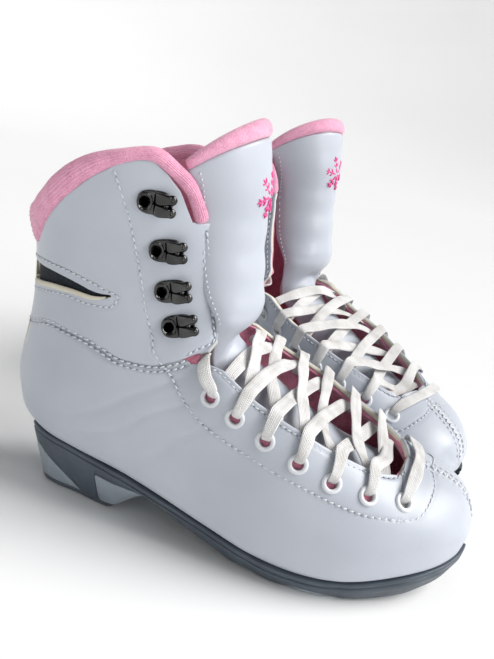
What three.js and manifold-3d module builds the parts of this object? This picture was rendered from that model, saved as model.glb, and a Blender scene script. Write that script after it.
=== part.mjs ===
// A pair of lace-up figure skate boots, unlaced at the hooks, standing side by side.
// Millimetres, +Z up. Each boot is drawn with its toe towards +X and its big-toe side towards +Y,
// as the right boot; the left boot is its mirror image. Most pieces follow one body form, addressed
// by station (0 at the toe tip, 13 at the heel, 21 at the collar), by angle (-90 at the sole or back
// seam, 0 at the widest point, 90 at the toe or shin centre line), and by height above the leather.
import * as THREE from 'three';
import { mergeVertices } from 'three/addons/utils/BufferGeometryUtils.js';
import Module from 'manifold-3d';

const wasm = await Module();
wasm.setup();

// Driving sizes
const GAP = 0.3;
const LEATHER = 2.2;
const LINING_OUTSIDE = 4.2;
const LINING_INSIDE = 5.6;
const MEDIAL_LINING_SLACK = 2.3;
const EYELET_SIDES = 6;
const FACING_THICKNESS = 3.8;
const EYELETS_PER_ROW = 7;
const HOOKS_PER_ROW = 4;
const HOOK_TILT = 22;
const LATERAL_HOOK_LIFT = 0.8;
const MEDIAL_HOOK_LIFT = 1.6;
const EYELET_HOLE_RADIUS = 3.3;
const EYELET_FLANGE_RADIUS = 4.9;
const LACE_RADIUS = 1;
const LEFT_BOOT_YAW = -26;
const LEFT_BOOT_SHIFT = [14.5, 133.5];
const BOOT_MIDDLE = 125;

// Body form, one row for each station:
// back x, back z, front x, front z, half width, widest share, squareness below, above, sideways bend
const SECTIONS = [
  [248, 30, 248.5, 32, 1, 0.5, 2, 2, 9],
  [247, 25, 246.5, 42, 12.5, 0.5, 2.4, 2.1, 9],
  [242, 21, 240, 50, 24.5, 0.46, 3.2, 2.2, 8],
  [230, 17.5, 227, 57, 35, 0.42, 4.5, 2.2, 6],
  [211, 13.5, 208, 63, 42.5, 0.4, 6, 2.2, 3],
  [189, 10, 189.5, 69.5, 47, 0.38, 7, 2.1, 0],
  [167, 8.5, 171, 78, 48, 0.37, 7, 2, -1],
  [144, 10, 154, 88.5, 46, 0.37, 7, 2, -1],
  [119, 15.5, 137.5, 97.5, 42.5, 0.38, 7, 2, 0],
  [92, 22.5, 125, 105.5, 40, 0.4, 6.5, 2, 0],
  [66, 28, 117.5, 113, 38, 0.42, 5.5, 2, 0],
  [40, 31, 114, 119, 37, 0.45, 4, 2.1, 0],
  [17.5, 33.5, 112.5, 124.5, 36, 0.48, 3, 2.1, 0],
  [4, 40, 111, 130.5, 35, 0.5, 2.5, 2.1, 0],
  [-0.5, 51, 110, 138, 34, 0.5, 2.3, 2.1, 0],
  [-2, 66.5, 109, 146.5, 33.5, 0.5, 2.2, 2.1, 0],
  [0.5, 83, 108, 155, 33.5, 0.5, 2.2, 2.1, 0],
  [3, 101, 106, 163.5, 34, 0.5, 2.2, 2.1, 0],
  [3.5, 119, 104.5, 172.5, 36, 0.5, 2.2, 2.1, 0],
  [2.5, 137, 102.5, 182, 38.5, 0.5, 2.2, 2.1, 0],
  [-3, 155, 101, 192.5, 41, 0.5, 2.2, 2.1, 0],
  [-9.5, 172.5, 101, 203, 43, 0.5, 2.2, 2.1, 0],
];

// Side profile of the sole, as [x, z]
const SOLE_TOP = [[0, 36], [17.5, 35.5], [40, 33], [66, 30], [92, 24.5], [119, 17.5], [144, 12],
  [167, 10.5], [189, 11.5], [211, 15.5], [230, 19.5], [242, 23], [252, 26]];
const SOLE_BOTTOM = [[0, 0], [62, 0], [67, 4], [77, 13], [84, 17], [94, 15], [110, 9.5], [119, 6.5],
  [133, 2.5], [150, 0.6], [160, 0], [192, 0], [211, 2.2], [222, 4], [230, 6.5], [242, 10], [252, 13.5]];

// Borders on the leather, as [station, angle] or, where they run along the shaft, [angle, station]
const EYESTAY_BACK = [[3.6, 27.5], [4.6, 27.5], [6, 27], [7.4, 22.5], [9.1, 18], [10, 20], [11, 23]];
const FACING_EDGE = [[3.6, 89.7], [3.95, 89.7], [4.1, 67], [4.65, 61], [5.35, 58.5], [6.65, 54],
  [7.3, 51.5], [8.15, 49], [9, 49], [9.6, 48], [10.1, 44.5], [10.5, 40.5], [10.85, 35]];
const CUFF_SEAM = [[11, 34], [11.4, 31.5], [12.1, 18.5], [13.25, 7], [14.7, -4.5], [15.75, -21],
  [16.4, -41], [16.7, -86]];
const CUFF_BOTTOM = [[-90, 16.72], [-41, 16.42], [-21, 15.77], [-4.5, 14.72], [7, 13.27], [18.5, 12.12],
  [31, 11.45], [41.5, 11.02], [49, 10.75], [56, 10.9]];
const COLLAR_LINE = [[-90, 18.8], [-70, 18.72], [-53, 18.75], [-40, 19.2], [-17, 19.85], [-2, 20.25],
  [8, 20.45], [16, 20.5], [24, 20.4], [31, 19.95], [38.5, 19.2], [43.5, 17.9], [50, 17.7], [56, 17.6]];
const COLLAR_TOP = [[-90, 19.6], [-50, 19.85], [-25, 20.4], [-7, 20.8], [6, 21], [19, 21], [29, 20.7],
  [39, 20.1], [46.5, 19.2], [50, 18.2], [52.5, 17.85], [56, 17.7]];
const MEDIAL_COLLAR_DROP = 0.3;
const FLAP_EDGE = [[10.6, 51], [11.3, 56], [13.2, 58], [15.6, 54], [17.5, 52.5], [19, 51]];

// How far each side's front stands open, in degrees along the stations, turned about one angle
const MEDIAL_OPENING = [[3.9, 0], [5, 14], [6.5, 24], [9, 32], [10, 30], [11.5, 24], [17, 22], [19, 12],
  [21, 0]];
const LATERAL_OPENING = [[3.9, 0], [5, 5], [6.5, 9], [9, 12], [10, 9], [11, 0]];
const OPENING_HINGE = 10;
const OPENING_FULL = 40;

function along(points, x) {
  if (x <= points[0][0]) return points[0][1];
  for (let i = 1; i < points.length; i += 1) {
    const [x0, y0] = points[i - 1];
    const [x1, y1] = points[i];
    if (x <= x1) return y0 + (y1 - y0) * (x - x0) / (x1 - x0);
  }
  return points[points.length - 1][1];
}

function section(t) {
  const last = SECTIONS.length - 1;
  const i = Math.min(Math.max(Math.floor(t), 0), last - 1);
  const s = t - i;
  const rows = [i - 1, i, i + 1, i + 2].map((k) => SECTIONS[Math.min(Math.max(k, 0), last)]);
  return rows[0].map((_, c) => {
    const [a, b, d, e] = rows.map((row) => row[c]);
    return 0.5 * (2 * b + (d - a) * s + (2 * a - 5 * b + 4 * d - e) * s * s
      + (3 * b - a - 3 * d + e) * s * s * s);
  });
}

// Where an angle falls on a cross-section: how far out from its middle line, and how far up from its back
function outAndUp(t, angle) {
  const [backX, backZ, frontX, frontZ, width, widest, below, above] = section(t);
  const radians = THREE.MathUtils.degToRad(angle);
  const power = 2 / (angle < 0 ? below : above);
  const cosine = Math.cos(radians);
  const rise = Math.abs(Math.sin(radians)) ** power;
  const share = angle < 0 ? widest * (1 - rise) : widest + (1 - widest) * rise;
  return new THREE.Vector2(
    width * Math.sign(cosine) * Math.abs(cosine) ** power,
    share * Math.hypot(frontX - backX, frontZ - backZ),
  );
}

function skin(t, angle, side, open = true) {
  const flat = outAndUp(t, angle);
  if (open && angle > OPENING_HINGE) {
    const opening = along(side < 0 ? LATERAL_OPENING : MEDIAL_OPENING, t);
    const turn = opening * THREE.MathUtils.smoothstep(angle, OPENING_HINGE, OPENING_FULL);
    flat.rotateAround(outAndUp(t, OPENING_HINGE), -THREE.MathUtils.degToRad(turn));
  }
  const [backX, backZ, frontX, frontZ, , , , , bend] = section(t);
  const up = new THREE.Vector2(frontX - backX, frontZ - backZ).setLength(flat.y);
  return new THREE.Vector3(backX + up.x, bend + side * flat.x, backZ + up.y);
}

function outward(t, angle, side, open = true) {
  const stepT = 0.05;
  const stepAngle = 1;
  const alongBoot = skin(t + stepT, angle, side, open).sub(skin(t - stepT, angle, side, open));
  const round = skin(t, angle + stepAngle, side, open).sub(skin(t, angle - stepAngle, side, open));
  return alongBoot.cross(round).multiplyScalar(side).normalize();
}

// A point at a height above the leather's outside, on one side of the boot, never below the sole
function onBoot(t, angle, side, height, open = true) {
  const inside = THREE.MathUtils.clamp(t, 0.06, 20.94);
  const point = skin(t, angle, side, open).addScaledVector(outward(inside, angle, side, open), height);
  point.y += side * GAP / 2;
  point.z = Math.max(point.z, along(SOLE_TOP, point.x) + 2 * GAP);
  return point;
}

// The angle at which a cross-section meets the top of the sole
function soleAngle(t) {
  const above = (angle) => {
    const point = skin(t, angle, 1);
    return point.z - along(SOLE_TOP, point.x) - GAP;
  };
  if (above(-89.9) > 0) return -89.9;
  let low = -89.9;
  let high = 0;
  for (let i = 0; i < 30; i += 1) {
    const middle = (low + high) / 2;
    if (above(middle) > 0) high = middle;
    else low = middle;
  }
  return high;
}

function geometryFrom(points, faces) {
  const position = points.flatMap((p) => [p.x, p.y, p.z]);
  let volume = 0;
  for (const [a, b, c] of faces) volume += points[a].dot(points[b].clone().cross(points[c]));
  const index = faces.flatMap(([a, b, c]) => (volume < 0 ? [a, c, b] : [a, b, c]));
  const geometry = new THREE.BufferGeometry();
  geometry.setAttribute('position', new THREE.Float32BufferAttribute(position, 3));
  geometry.setIndex(index);
  return geometry;
}

// A closed sheet with thickness: place(u, v, layer) gives its outside (layer 0) and inside (layer 1)
function sheet(us, vs, place) {
  const points = [];
  for (const layer of [0, 1]) {
    for (const u of us) {
      for (const v of vs) points.push(place(u, v, layer));
    }
  }
  const rows = us.length;
  const columns = vs.length;
  const at = (layer, i, j) => (layer * rows + i) * columns + j;
  const faces = [];
  const quad = (a, b, c, d) => faces.push([a, b, c], [a, c, d]);
  for (let i = 0; i < rows - 1; i += 1) {
    for (let j = 0; j < columns - 1; j += 1) {
      quad(at(0, i, j), at(0, i + 1, j), at(0, i + 1, j + 1), at(0, i, j + 1));
      quad(at(1, i, j), at(1, i, j + 1), at(1, i + 1, j + 1), at(1, i + 1, j));
    }
    quad(at(0, i, 0), at(1, i, 0), at(1, i + 1, 0), at(0, i + 1, 0));
    quad(at(0, i, columns - 1), at(0, i + 1, columns - 1), at(1, i + 1, columns - 1), at(1, i, columns - 1));
  }
  for (let j = 0; j < columns - 1; j += 1) {
    quad(at(0, 0, j), at(0, 0, j + 1), at(1, 0, j + 1), at(1, 0, j));
    quad(at(0, rows - 1, j), at(1, rows - 1, j), at(1, rows - 1, j + 1), at(0, rows - 1, j + 1));
  }
  return geometryFrom(points, faces);
}

// A closed solid through rings of equal point counts
function loft(rings) {
  const count = rings[0].length;
  const points = rings.flat();
  const faces = [];
  for (let i = 0; i < rings.length - 1; i += 1) {
    for (let j = 0; j < count; j += 1) {
      const a = i * count + j;
      const b = i * count + (j + 1) % count;
      faces.push([a, b, b + count], [a, b + count, a + count]);
    }
  }
  const lastRing = (rings.length - 1) * count;
  for (let j = 1; j < count - 1; j += 1) {
    faces.push([0, j + 1, j], [lastRing, lastRing + j, lastRing + j + 1]);
  }
  return geometryFrom(points, faces);
}

const steps = (count, from = 0, to = 1) =>
  Array.from({ length: count + 1 }, (_, i) => from + (to - from) * i / count);

function solidFrom(geometry) {
  const bare = geometry.clone();
  bare.deleteAttribute('normal');
  bare.deleteAttribute('uv');
  const merged = mergeVertices(bare);
  return new wasm.Manifold(new wasm.Mesh({
    numProp: 3,
    vertProperties: merged.getAttribute('position').array,
    triVerts: new Uint32Array(merged.getIndex().array),
  }));
}

function geometryOf(solid) {
  const mesh = solid.getMesh();
  const geometry = new THREE.BufferGeometry();
  geometry.setAttribute('position', new THREE.BufferAttribute(new Float32Array(mesh.vertProperties), 3));
  geometry.setIndex(new THREE.BufferAttribute(new Uint32Array(mesh.triVerts), 1));
  return geometry;
}

// Sole and footbed, all on one plan outline

const SOLE_STATIONS = [1.35, 1.6, 2, 2.5, 3, 3.6, 4.2, 5, 6, 6.7, 7.3, 7.8, 8.35, 8.75, 9.1, 9.35, 9.6, 9.85, 10.2,
  10.6, 11.1, 11.5, 11.8, 12, 12.18, 12.3];

function planPoint(t, outset) {
  const edge = (s) => {
    const point = skin(s, soleAngle(s), 1);
    return new THREE.Vector2(point.x, point.y - section(s)[8]);
  };
  const step = 0.04;
  const tangent = edge(t + step).sub(edge(t - step));
  const normal = new THREE.Vector2(tangent.y, -tangent.x).normalize();
  return edge(t).addScaledVector(normal, outset);
}

function soleRing(t, levels) {
  const bend = section(t)[8];
  const half = levels.map(({ outset, z }) => {
    const plan = planPoint(t, outset);
    return new THREE.Vector3(plan.x, Math.max(plan.y, 0.4), z(plan.x));
  });
  const right = half.map((p) => new THREE.Vector3(p.x, bend + p.y, p.z));
  const left = half.map((p) => new THREE.Vector3(p.x, bend - p.y, p.z)).reverse();
  return [...right, ...left];
}

const soleTop = (x) => along(SOLE_TOP, x);
const soleBottom = (x) => along(SOLE_BOTTOM, x);

function bottomInset(t) {
  return along([[1.3, -2], [8.5, -2], [9.6, -6], [11, -7], [12, -6], [12.3, -5]], t);
}

const wholeSole = solidFrom(loft(SOLE_STATIONS.map((t) => soleRing(t, [
  { outset: 2.4, z: soleTop },
  { outset: 2.4, z: (x) => soleTop(x) - 2.4 },
  { outset: 1.5, z: (x) => soleTop(x) - 3.1 },
  { outset: 2.2, z: (x) => soleTop(x) - 3.8 },
  { outset: bottomInset(t), z: soleBottom },
]))));

// A prism right across the boot, drawn as [x, z] points and shrunk all round by a gap
function crossPrism(outline, shrink) {
  const centre = outline.reduce((sum, [x, z]) => sum.add(new THREE.Vector2(x, z)), new THREE.Vector2())
    .divideScalar(outline.length);
  const corners = outline.map(([x, z]) => {
    const away = new THREE.Vector2(x, z).sub(centre);
    return away.setLength(away.length() - shrink).add(centre);
  });
  const depth = 140;
  const prism = new THREE.ExtrudeGeometry(new THREE.Shape(corners), { depth, bevelEnabled: false });
  prism.rotateX(Math.PI / 2);
  prism.translate(0, depth / 2, 0);
  return solidFrom(prism);
}

const HEEL_REAR_WINDOW = [[2, 26], [16, 26], [45, 3.5], [2, 3.5]];
const HEEL_FRONT_WINDOW = [[54, 22], [80, 20], [98, 9], [72, 3.5], [56, 3.5]];
const BALL_WINDOW = [[159, -2], [164, 1.4], [172, 2.8], [180, 2.8], [188, 1.4], [193, -2]];

function outsole() {
  let solid = wholeSole;
  for (const window of [HEEL_REAR_WINDOW, HEEL_FRONT_WINDOW, BALL_WINDOW]) {
    solid = solid.subtract(crossPrism(window, 0));
  }
  return geometryOf(solid);
}

const soleInsert = (window) => geometryOf(wholeSole.intersect(crossPrism(window, 2 * GAP)));

function innerPlate(inset, low, high) {
  const stations = [1.7, 2.2, 3, 4, 5, 6, 7, 8, 9, 10, 10.9, 11.5, 11.9];
  return loft(stations.map((t) => soleRing(t, [
    { outset: -inset, z: (x) => soleTop(x) + high },
    { outset: -inset, z: (x) => soleTop(x) + low },
  ])));
}

// Leather panels and their lining

const QUARTER_ROWS = [0.15, 0.6, 1.1, 1.7, 2.4, 3.1, 3.43, 3.6, 4.6, 5.8, 7, 8.1, 9.2, 10.2, 10.9, 11.02, 12,
  13, 14, 15, 15.7, 16.1, 16.4, 16.64];

const PANEL_SHARES = [0, 0.12, 0.3, 0.5, 0.7, 0.86, 1];

function quarterTop(t) {
  if (t < 3.5) return 89.8;
  if (t < 10.96) return along(EYESTAY_BACK, t) - 0.8;
  return along(CUFF_SEAM, t);
}

function quarter(side) {
  return sheet(QUARTER_ROWS, PANEL_SHARES, (t, v, layer) => {
    const low = soleAngle(t);
    return onBoot(t, low + (quarterTop(t) - low) * v, side, layer ? -LEATHER : 0);
  });
}

function lowerOnMedial(points, angle, side) {
  const drop = side > 0 ? MEDIAL_COLLAR_DROP * THREE.MathUtils.smoothstep(angle, -90, -30) : 0;
  return along(points, angle) - drop;
}

const collarLine = (angle, side) => lowerOnMedial(COLLAR_LINE, angle, side);
const collarTop = (angle, side) => lowerOnMedial(COLLAR_TOP, angle, side);

function cuffPoint(u, v, side, height) {
  const nominal = -89.8 + u * (55.5 + 89.8);
  const t = THREE.MathUtils.lerp(along(CUFF_BOTTOM, nominal) + 0.12, collarLine(nominal, side), v);
  const fade = THREE.MathUtils.smoothstep(nominal, 20, 55);
  return onBoot(t, nominal + (along(FLAP_EDGE, t) - 55.5) * fade, side, height);
}

function cuff(side) {
  const us = [0, 0.11, 0.24, 0.37, 0.5, 0.6, 0.69, 0.75, 0.8, 0.86, 0.93, 1];
  const panel = sheet(us, steps(6), (u, v, layer) => cuffPoint(u, v, side, layer ? -LEATHER : 0));
  const notch = sheet(steps(6), [-1, 1], (u, v, layer) => {
    const angle = -70 + 73 * u;
    const half = 0.28 * (1 - u) ** 0.6 + 0.02;
    const middle = along([[-70, 18.02], [-50, 17.85], [-26, 17.4], [-9, 16.65], [3, 15.85]], angle);
    return onBoot(middle + v * half, angle, side, layer ? -6 : 3);
  });
  return geometryOf(solidFrom(panel).subtract(solidFrom(notch)));
}

function lining(side) {
  const rows = [1, 1.7, 2.4, 3.1, 3.36, 3.6, 4.6, 5.8, 7, 8.1, 9.2, 10.2, 10.9, 11.5, 11.95, 13, 14.2,
    15.4, 16.4, 17.5, 18.6, 19.5, 20.3];
  return sheet(rows, PANEL_SHARES, (t, v, layer) => {
    const low = soleAngle(t);
    let high = 89.7;
    if (t > 3.5) high = along(EYESTAY_BACK, t) - 1.4;
    if (t > 11.5) high = along(FLAP_EDGE, t) - 1.5;
    const angle = low + (high - low) * v;
    const top = Math.min(collarLine(angle, side), collarLine(angle + 5, side)) - 0.12;
    const station = t < 15 ? t : 15 + (t - 15) * (top - 15) / (20.3 - 15);
    const slack = side > 0 ? MEDIAL_LINING_SLACK : 0;
    return onBoot(station, angle, side, -slack - (layer ? LINING_INSIDE : LINING_OUTSIDE));
  });
}

function backstay() {
  const across = [-1, -0.4, 0.4, 1];
  return sheet(steps(6, 12.9, 18.6), across, (t, v, layer) => {
    const side = v < 0 ? -1 : 1;
    return onBoot(t, -89.6 + 12 * Math.abs(v), side, layer ? 0.8 : 1.8);
  });
}

function collarPad(side) {
  const around = steps(8).slice(0, -1).map((share) => 2 * Math.PI * share);
  const angles = [-89.6, -70, -50, -30, -12, 4, 18, 30, 38, 44, 50, 55];
  return loft(angles.map((angle) => {
    const low = collarLine(angle, side) + 0.09;
    const high = collarTop(angle, side);
    return around.map((turn) => onBoot(
      (low + high) / 2 + (high - low) / 2 * Math.sin(turn), angle, side, -3.6 + 4.2 * Math.cos(turn)));
  }));
}

// Facing strips with their eyelets

function eyeletPlace(index) {
  const share = index / (EYELETS_PER_ROW - 1);
  return { t: 9.4 - 5.45 * share, angle: 32 + 12 * share ** 1.3 };
}

// Turns a shape drawn around +Z so that it stands on the leather, its +X pointing to the front edge
function standOn(geometry, t, angle, side, height) {
  const up = outward(t, angle, side);
  const forward = skin(t, angle + 2, side).sub(skin(t, angle - 2, side));
  forward.addScaledVector(up, -forward.dot(up)).normalize();
  const across = up.clone().cross(forward);
  const place = new THREE.Matrix4().makeBasis(forward, across, up);
  place.setPosition(onBoot(t, angle, side, height));
  return geometry.applyMatrix4(place);
}

function flangeRing() {
  const profile = [[0, -1], [EYELET_FLANGE_RADIUS, -1], [EYELET_FLANGE_RADIUS - 0.8, 0.8], [0, 0.8]];
  const ring = new THREE.LatheGeometry(profile.map(([r, z]) => new THREE.Vector2(r, z)), EYELET_SIDES);
  return ring.rotateX(Math.PI / 2);
}

function eyestay(side) {
  const rows = [3.68, 3.93, 4.12, 4.7, 5.4, 6.1, 6.8, 7.5, 8.2, 8.9, 9.6, 10.1, 10.5, 10.83];
  const strip = sheet(rows, [0, 0.5, 1], (t, v, layer) => {
    const back = along(EYESTAY_BACK, t) + 0.7;
    return onBoot(t, back + (along(FACING_EDGE, t) - back) * v, side, layer ? -FACING_THICKNESS : 0);
  });
  let solid = solidFrom(strip);
  for (let i = 0; i < EYELETS_PER_ROW; i += 1) {
    const { t, angle } = eyeletPlace(i);
    solid = solid.add(solidFrom(standOn(flangeRing(), t, angle, side, 0)));
    const drill = new THREE.CylinderGeometry(EYELET_HOLE_RADIUS, EYELET_HOLE_RADIUS, 14, EYELET_SIDES)
      .rotateX(Math.PI / 2);
    solid = solid.subtract(solidFrom(standOn(drill, t, angle, side, 0)));
  }
  return geometryOf(solid);
}

// Lace hooks: a riveted plate and a pair of forward-curling prongs

function hook(index, side) {
  const share = index / (HOOKS_PER_ROW - 1);
  const t = 19.2 - 5.85 * share;
  const angle = 21.5 + 12.5 * share;
  const plate = new THREE.Shape([
    [-7, -2.8], [-4.6, -5.2], [2.6, -5.2], [7.2, -3.4], [7.2, 3.4], [2.6, 5.2], [-4.6, 5.2], [-7, 2.8],
  ].map(([x, y]) => new THREE.Vector2(x, y)));
  const base = new THREE.ExtrudeGeometry(plate, { depth: 1.1, bevelEnabled: false });
  const curl = new THREE.Shape([
    [-1.3, 0.5], [1.3, 0.5], [2.2, 3.4], [7.9, 4.1], [9.6, 3], [9.8, 4.6], [8.2, 5.8], [0.8, 5.3],
  ].map(([x, y]) => new THREE.Vector2(x, y)));
  const width = 3;
  let solid = solidFrom(base);
  for (const offset of [-4.3, 1.3]) {
    const prong = new THREE.ExtrudeGeometry(curl, { depth: width, bevelEnabled: false });
    prong.rotateX(Math.PI / 2).translate(0, offset + width, 0);
    solid = solid.add(solidFrom(prong));
  }
  const geometry = geometryOf(solid).rotateZ(side * THREE.MathUtils.degToRad(HOOK_TILT));
  return standOn(geometry, t, angle, side, side > 0 ? MEDIAL_HOOK_LIFT : LATERAL_HOOK_LIFT);
}

// Tongue: a lower half under the lacing and a free upper half that folds forward

function tongueLower() {
  return sheet(steps(7, 4.3, 10.45), steps(6, -1, 1), (t, v, layer) => {
    const reach = along([[4.3, 34], [8, 42], [10.5, 44]], t);
    const depth = along([[4.3, 10], [5.5, 12], [8.5, 12], [10.45, 7.8]], t);
    const side = v < 0 ? -1 : 1;
    const point = onBoot(t, 89.9 - reach * Math.abs(v), side, -depth - 4 * layer, false);
    point.y -= side * GAP / 2;
    return point;
  });
}

const TONGUE_SPINE = new THREE.CatmullRomCurve3([[115, 111], [120.5, 119], [120, 130], [118, 142], [115.5, 160],
  [115, 176], [112.5, 194], [108.5, 212]].map(([x, z]) => new THREE.Vector3(x, 0, z)));

// The upper tongue wraps the shin: v runs from one edge (-1) round the front (0) to the other (1)
function tonguePoint(s, v, depth) {
  const centre = TONGUE_SPINE.getPoint(s);
  const ahead = TONGUE_SPINE.getTangent(s);
  const halfWidth = along([[0, 15], [0.3, 14], [0.64, 14], [0.75, 17.5], [0.86, 26], [1, 31]], s);
  const bow = along([[0, 6], [0.12, 12], [0.3, 26], [0.62, 29], [0.84, 28], [1, 28]], s);
  const turn = v * Math.PI / 2;
  const inward = new THREE.Vector3(-Math.cos(turn) / bow, -Math.sin(turn) / halfWidth, 0).normalize();
  inward.addScaledVector(ahead, -inward.dot(ahead)).normalize();
  const drop = along([[0, 0], [0.6, 0], [1, 22]], s) * v * v;
  const x = centre.x - bow * (1 - Math.cos(turn));
  const point = new THREE.Vector3(x, halfWidth * Math.sin(turn), centre.z - drop);
  return point.addScaledVector(inward, depth);
}

const tongueUpper = () => sheet(
  [0.015, 0.12, 0.25, 0.4, 0.55, 0.66, 0.75, 0.84, 0.93], steps(8, -1, 1),
  (s, v, layer) => tonguePoint(s, v, layer * 4.5));

function tongueTrim() {
  const around = steps(8).slice(0, -1).map((share) => 2 * Math.PI * share);
  return loft(steps(8, -1, 1).map((v) => around.map((turn) => tonguePoint(
    0.968 + 0.028 * Math.sin(turn), v, 2.2 + 3 * Math.cos(turn)))));
}

// Lace: one length, criss-crossed through both rows, its two ends tucked in behind the hook flaps

class StepPath extends THREE.Curve {
  constructor(points) {
    super();
    this.points = points;
  }

  getPoint(share) {
    const place = THREE.MathUtils.clamp(share, 0, 1) * (this.points.length - 1);
    const i = Math.min(Math.floor(place), this.points.length - 2);
    return this.points[i].clone().lerp(this.points[i + 1], place - i);
  }

  getPointAt(share) {
    return this.getPoint(share);
  }

  getTangentAt(share) {
    return this.getTangent(share);
  }
}

const OVER = 2.3;
const UNDER = -FACING_THICKNESS - 1.8;
const THROAT_END = 4.4;

function eyeletPass(index, side, outsideIn) {
  const { t, angle } = eyeletPlace(index);
  const { x, y, z } = skin(t, angle, side).sub(skin(t, angle - 1, side));
  const degree = 1 / Math.hypot(x, y, z);
  const at = (reach, height) => onBoot(t, angle + reach * degree, side, height);
  const edgeStation = Math.max(t, THROAT_END);
  const edge = along(FACING_EDGE, edgeStation);
  const pass = [
    onBoot(edgeStation, edge + 2 * degree, side, OVER - 1),
    onBoot(edgeStation, edge - 1, side, OVER + 0.2),
    at(4.8, OVER + 0.8),
    at(1, 1.8),
    at(1, -FACING_THICKNESS - 1),
    at(4.8, UNDER - 0.6),
    onBoot(edgeStation - 0.05, edge + 1, side, UNDER - 0.2),
  ];
  return outsideIn ? pass : pass.reverse();
}

function crossing(index, high) {
  const { t } = eyeletPlace(index - 0.5);
  return onBoot(t, 89.9, 1, high ? -5 : -8.2, false);
}

function halfLace(firstSide) {
  const last = EYELETS_PER_ROW - 1;
  const points = [onBoot(3.8, 66, firstSide, OVER + 0.3), ...eyeletPass(last, firstSide, true).slice(2)];
  points.push(crossing(last, firstSide > 0));
  let side = -firstSide;
  for (let i = last - 1; i > 0; i -= 1) {
    points.push(...eyeletPass(i, side, true), crossing(i, firstSide > 0));
    side = -side;
  }
  points.push(...eyeletPass(0, side, false).slice(0, -2));
  for (const [t, angle, height] of [[9.9, 37, OVER], [10.45, 41, OVER], [10.72, 42.5, 0.4], [10.78, 43, -4],
    [11, 41, -10.5], [12, 38, -12.5]]) {
    points.push(onBoot(t, angle, side, height));
  }
  return points;
}

function lace() {
  const bar = onBoot(3.7, 89.9, 1, OVER + 0.3);
  const points = [...halfLace(-1).reverse(), bar, ...halfLace(1)];
  const section = new THREE.Shape(steps(8).slice(0, -1).map((share) => new THREE.Vector2(
    LACE_RADIUS * Math.cos(2 * Math.PI * share), LACE_RADIUS * Math.sin(2 * Math.PI * share))));
  return new THREE.ExtrudeGeometry(section, {
    steps: points.length - 1, extrudePath: new StepPath(points), bevelEnabled: false,
  });
}

// Finishes

const finish = (color, roughness, metalness = 0) => new THREE.MeshStandardMaterial({ color, roughness, metalness });
const WHITE_LEATHER = finish(0xe4e7ea, 0.5);
const CREAM_EDGE = finish(0xd9d0b8, 0.8);
const PINK_TERRY = finish(0xe39bbd, 0.95);
const PINK_LINING = finish(0xb9607f, 0.9);
const SLATE_RUBBER = finish(0x343d47, 0.55);
const PALE_FOAM = finish(0xb9c0c6, 0.7);
const BOARD = finish(0xa8895f, 0.9);
const NICKEL = finish(0x2c2d30, 0.25, 1);
const LACE_COTTON = finish(0xe6e3da, 0.9);

const sides = { lateral: -1, medial: 1 };

function bootPieces() {
  const pieces = [
    ['outsole', outsole(), SLATE_RUBBER],
    ['heel_insert_rear', soleInsert(HEEL_REAR_WINDOW), PALE_FOAM],
    ['heel_insert_front', soleInsert(HEEL_FRONT_WINDOW), PALE_FOAM],
    ['ball_insert', soleInsert(BALL_WINDOW), PALE_FOAM],
    ['insole_board', innerPlate(5.6, 0.9, 3.2), BOARD],
    ['footbed', innerPlate(6.4, 3.2 + GAP, 6.4), PINK_LINING],
    ['backstay', backstay(), CREAM_EDGE],
    ['tongue_lower', tongueLower(), WHITE_LEATHER],
    ['tongue_upper', tongueUpper(), WHITE_LEATHER],
    ['tongue_trim', tongueTrim(), PINK_TERRY],
    ['lace', lace(), LACE_COTTON],
  ];
  for (const [name, side] of Object.entries(sides)) {
    pieces.push([`${name}_quarter`, quarter(side), WHITE_LEATHER]);
    pieces.push([`${name}_cuff`, cuff(side), WHITE_LEATHER]);
    pieces.push([`${name}_lining`, lining(side), PINK_LINING]);
    pieces.push([`${name}_collar_pad`, collarPad(side), PINK_TERRY]);
    pieces.push([`${name}_eyestay`, eyestay(side), WHITE_LEATHER]);
    for (let i = 0; i < HOOKS_PER_ROW; i += 1) {
      pieces.push([`${name}_hook_${i + 1}`, hook(i, side), NICKEL]);
    }
  }
  return pieces;
}

function mirrored(geometry) {
  const copy = geometry.index ? geometry.toNonIndexed() : geometry.clone();
  copy.deleteAttribute('normal');
  copy.deleteAttribute('uv');
  copy.scale(1, -1, 1);
  const position = copy.getAttribute('position');
  for (let i = 0; i < position.count; i += 3) {
    const first = new THREE.Vector3().fromBufferAttribute(position, i + 1);
    const second = new THREE.Vector3().fromBufferAttribute(position, i + 2);
    position.setXYZ(i + 1, second.x, second.y, second.z);
    position.setXYZ(i + 2, first.x, first.y, first.z);
  }
  return mergeVertices(copy);
}

const rightBoot = new THREE.Group();
const leftBoot = new THREE.Group();
for (const [name, geometry, material] of bootPieces()) {
  const rightPiece = new THREE.Mesh(geometry, material);
  rightPiece.name = `right_${name}`;
  rightBoot.add(rightPiece);
  const leftPiece = new THREE.Mesh(mirrored(geometry), material);
  leftPiece.name = `left_${name}`;
  leftBoot.add(leftPiece);
}

const yaw = THREE.MathUtils.degToRad(LEFT_BOOT_YAW);
leftBoot.rotation.z = yaw;
leftBoot.position.set(
  BOOT_MIDDLE + LEFT_BOOT_SHIFT[0] - BOOT_MIDDLE * Math.cos(yaw),
  LEFT_BOOT_SHIFT[1] - BOOT_MIDDLE * Math.sin(yaw),
  0,
);

const pair = new THREE.Group();
pair.add(rightBoot, leftBoot);
pair.updateMatrixWorld(true);
const extent = new THREE.Box3().setFromObject(pair, true);
const middle = extent.getCenter(new THREE.Vector3());
pair.position.set(-middle.x, -middle.y, -extent.min.z);

export default pair;
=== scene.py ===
import math

import bpy
import numpy as np
from mathutils import Matrix, Vector


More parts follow.
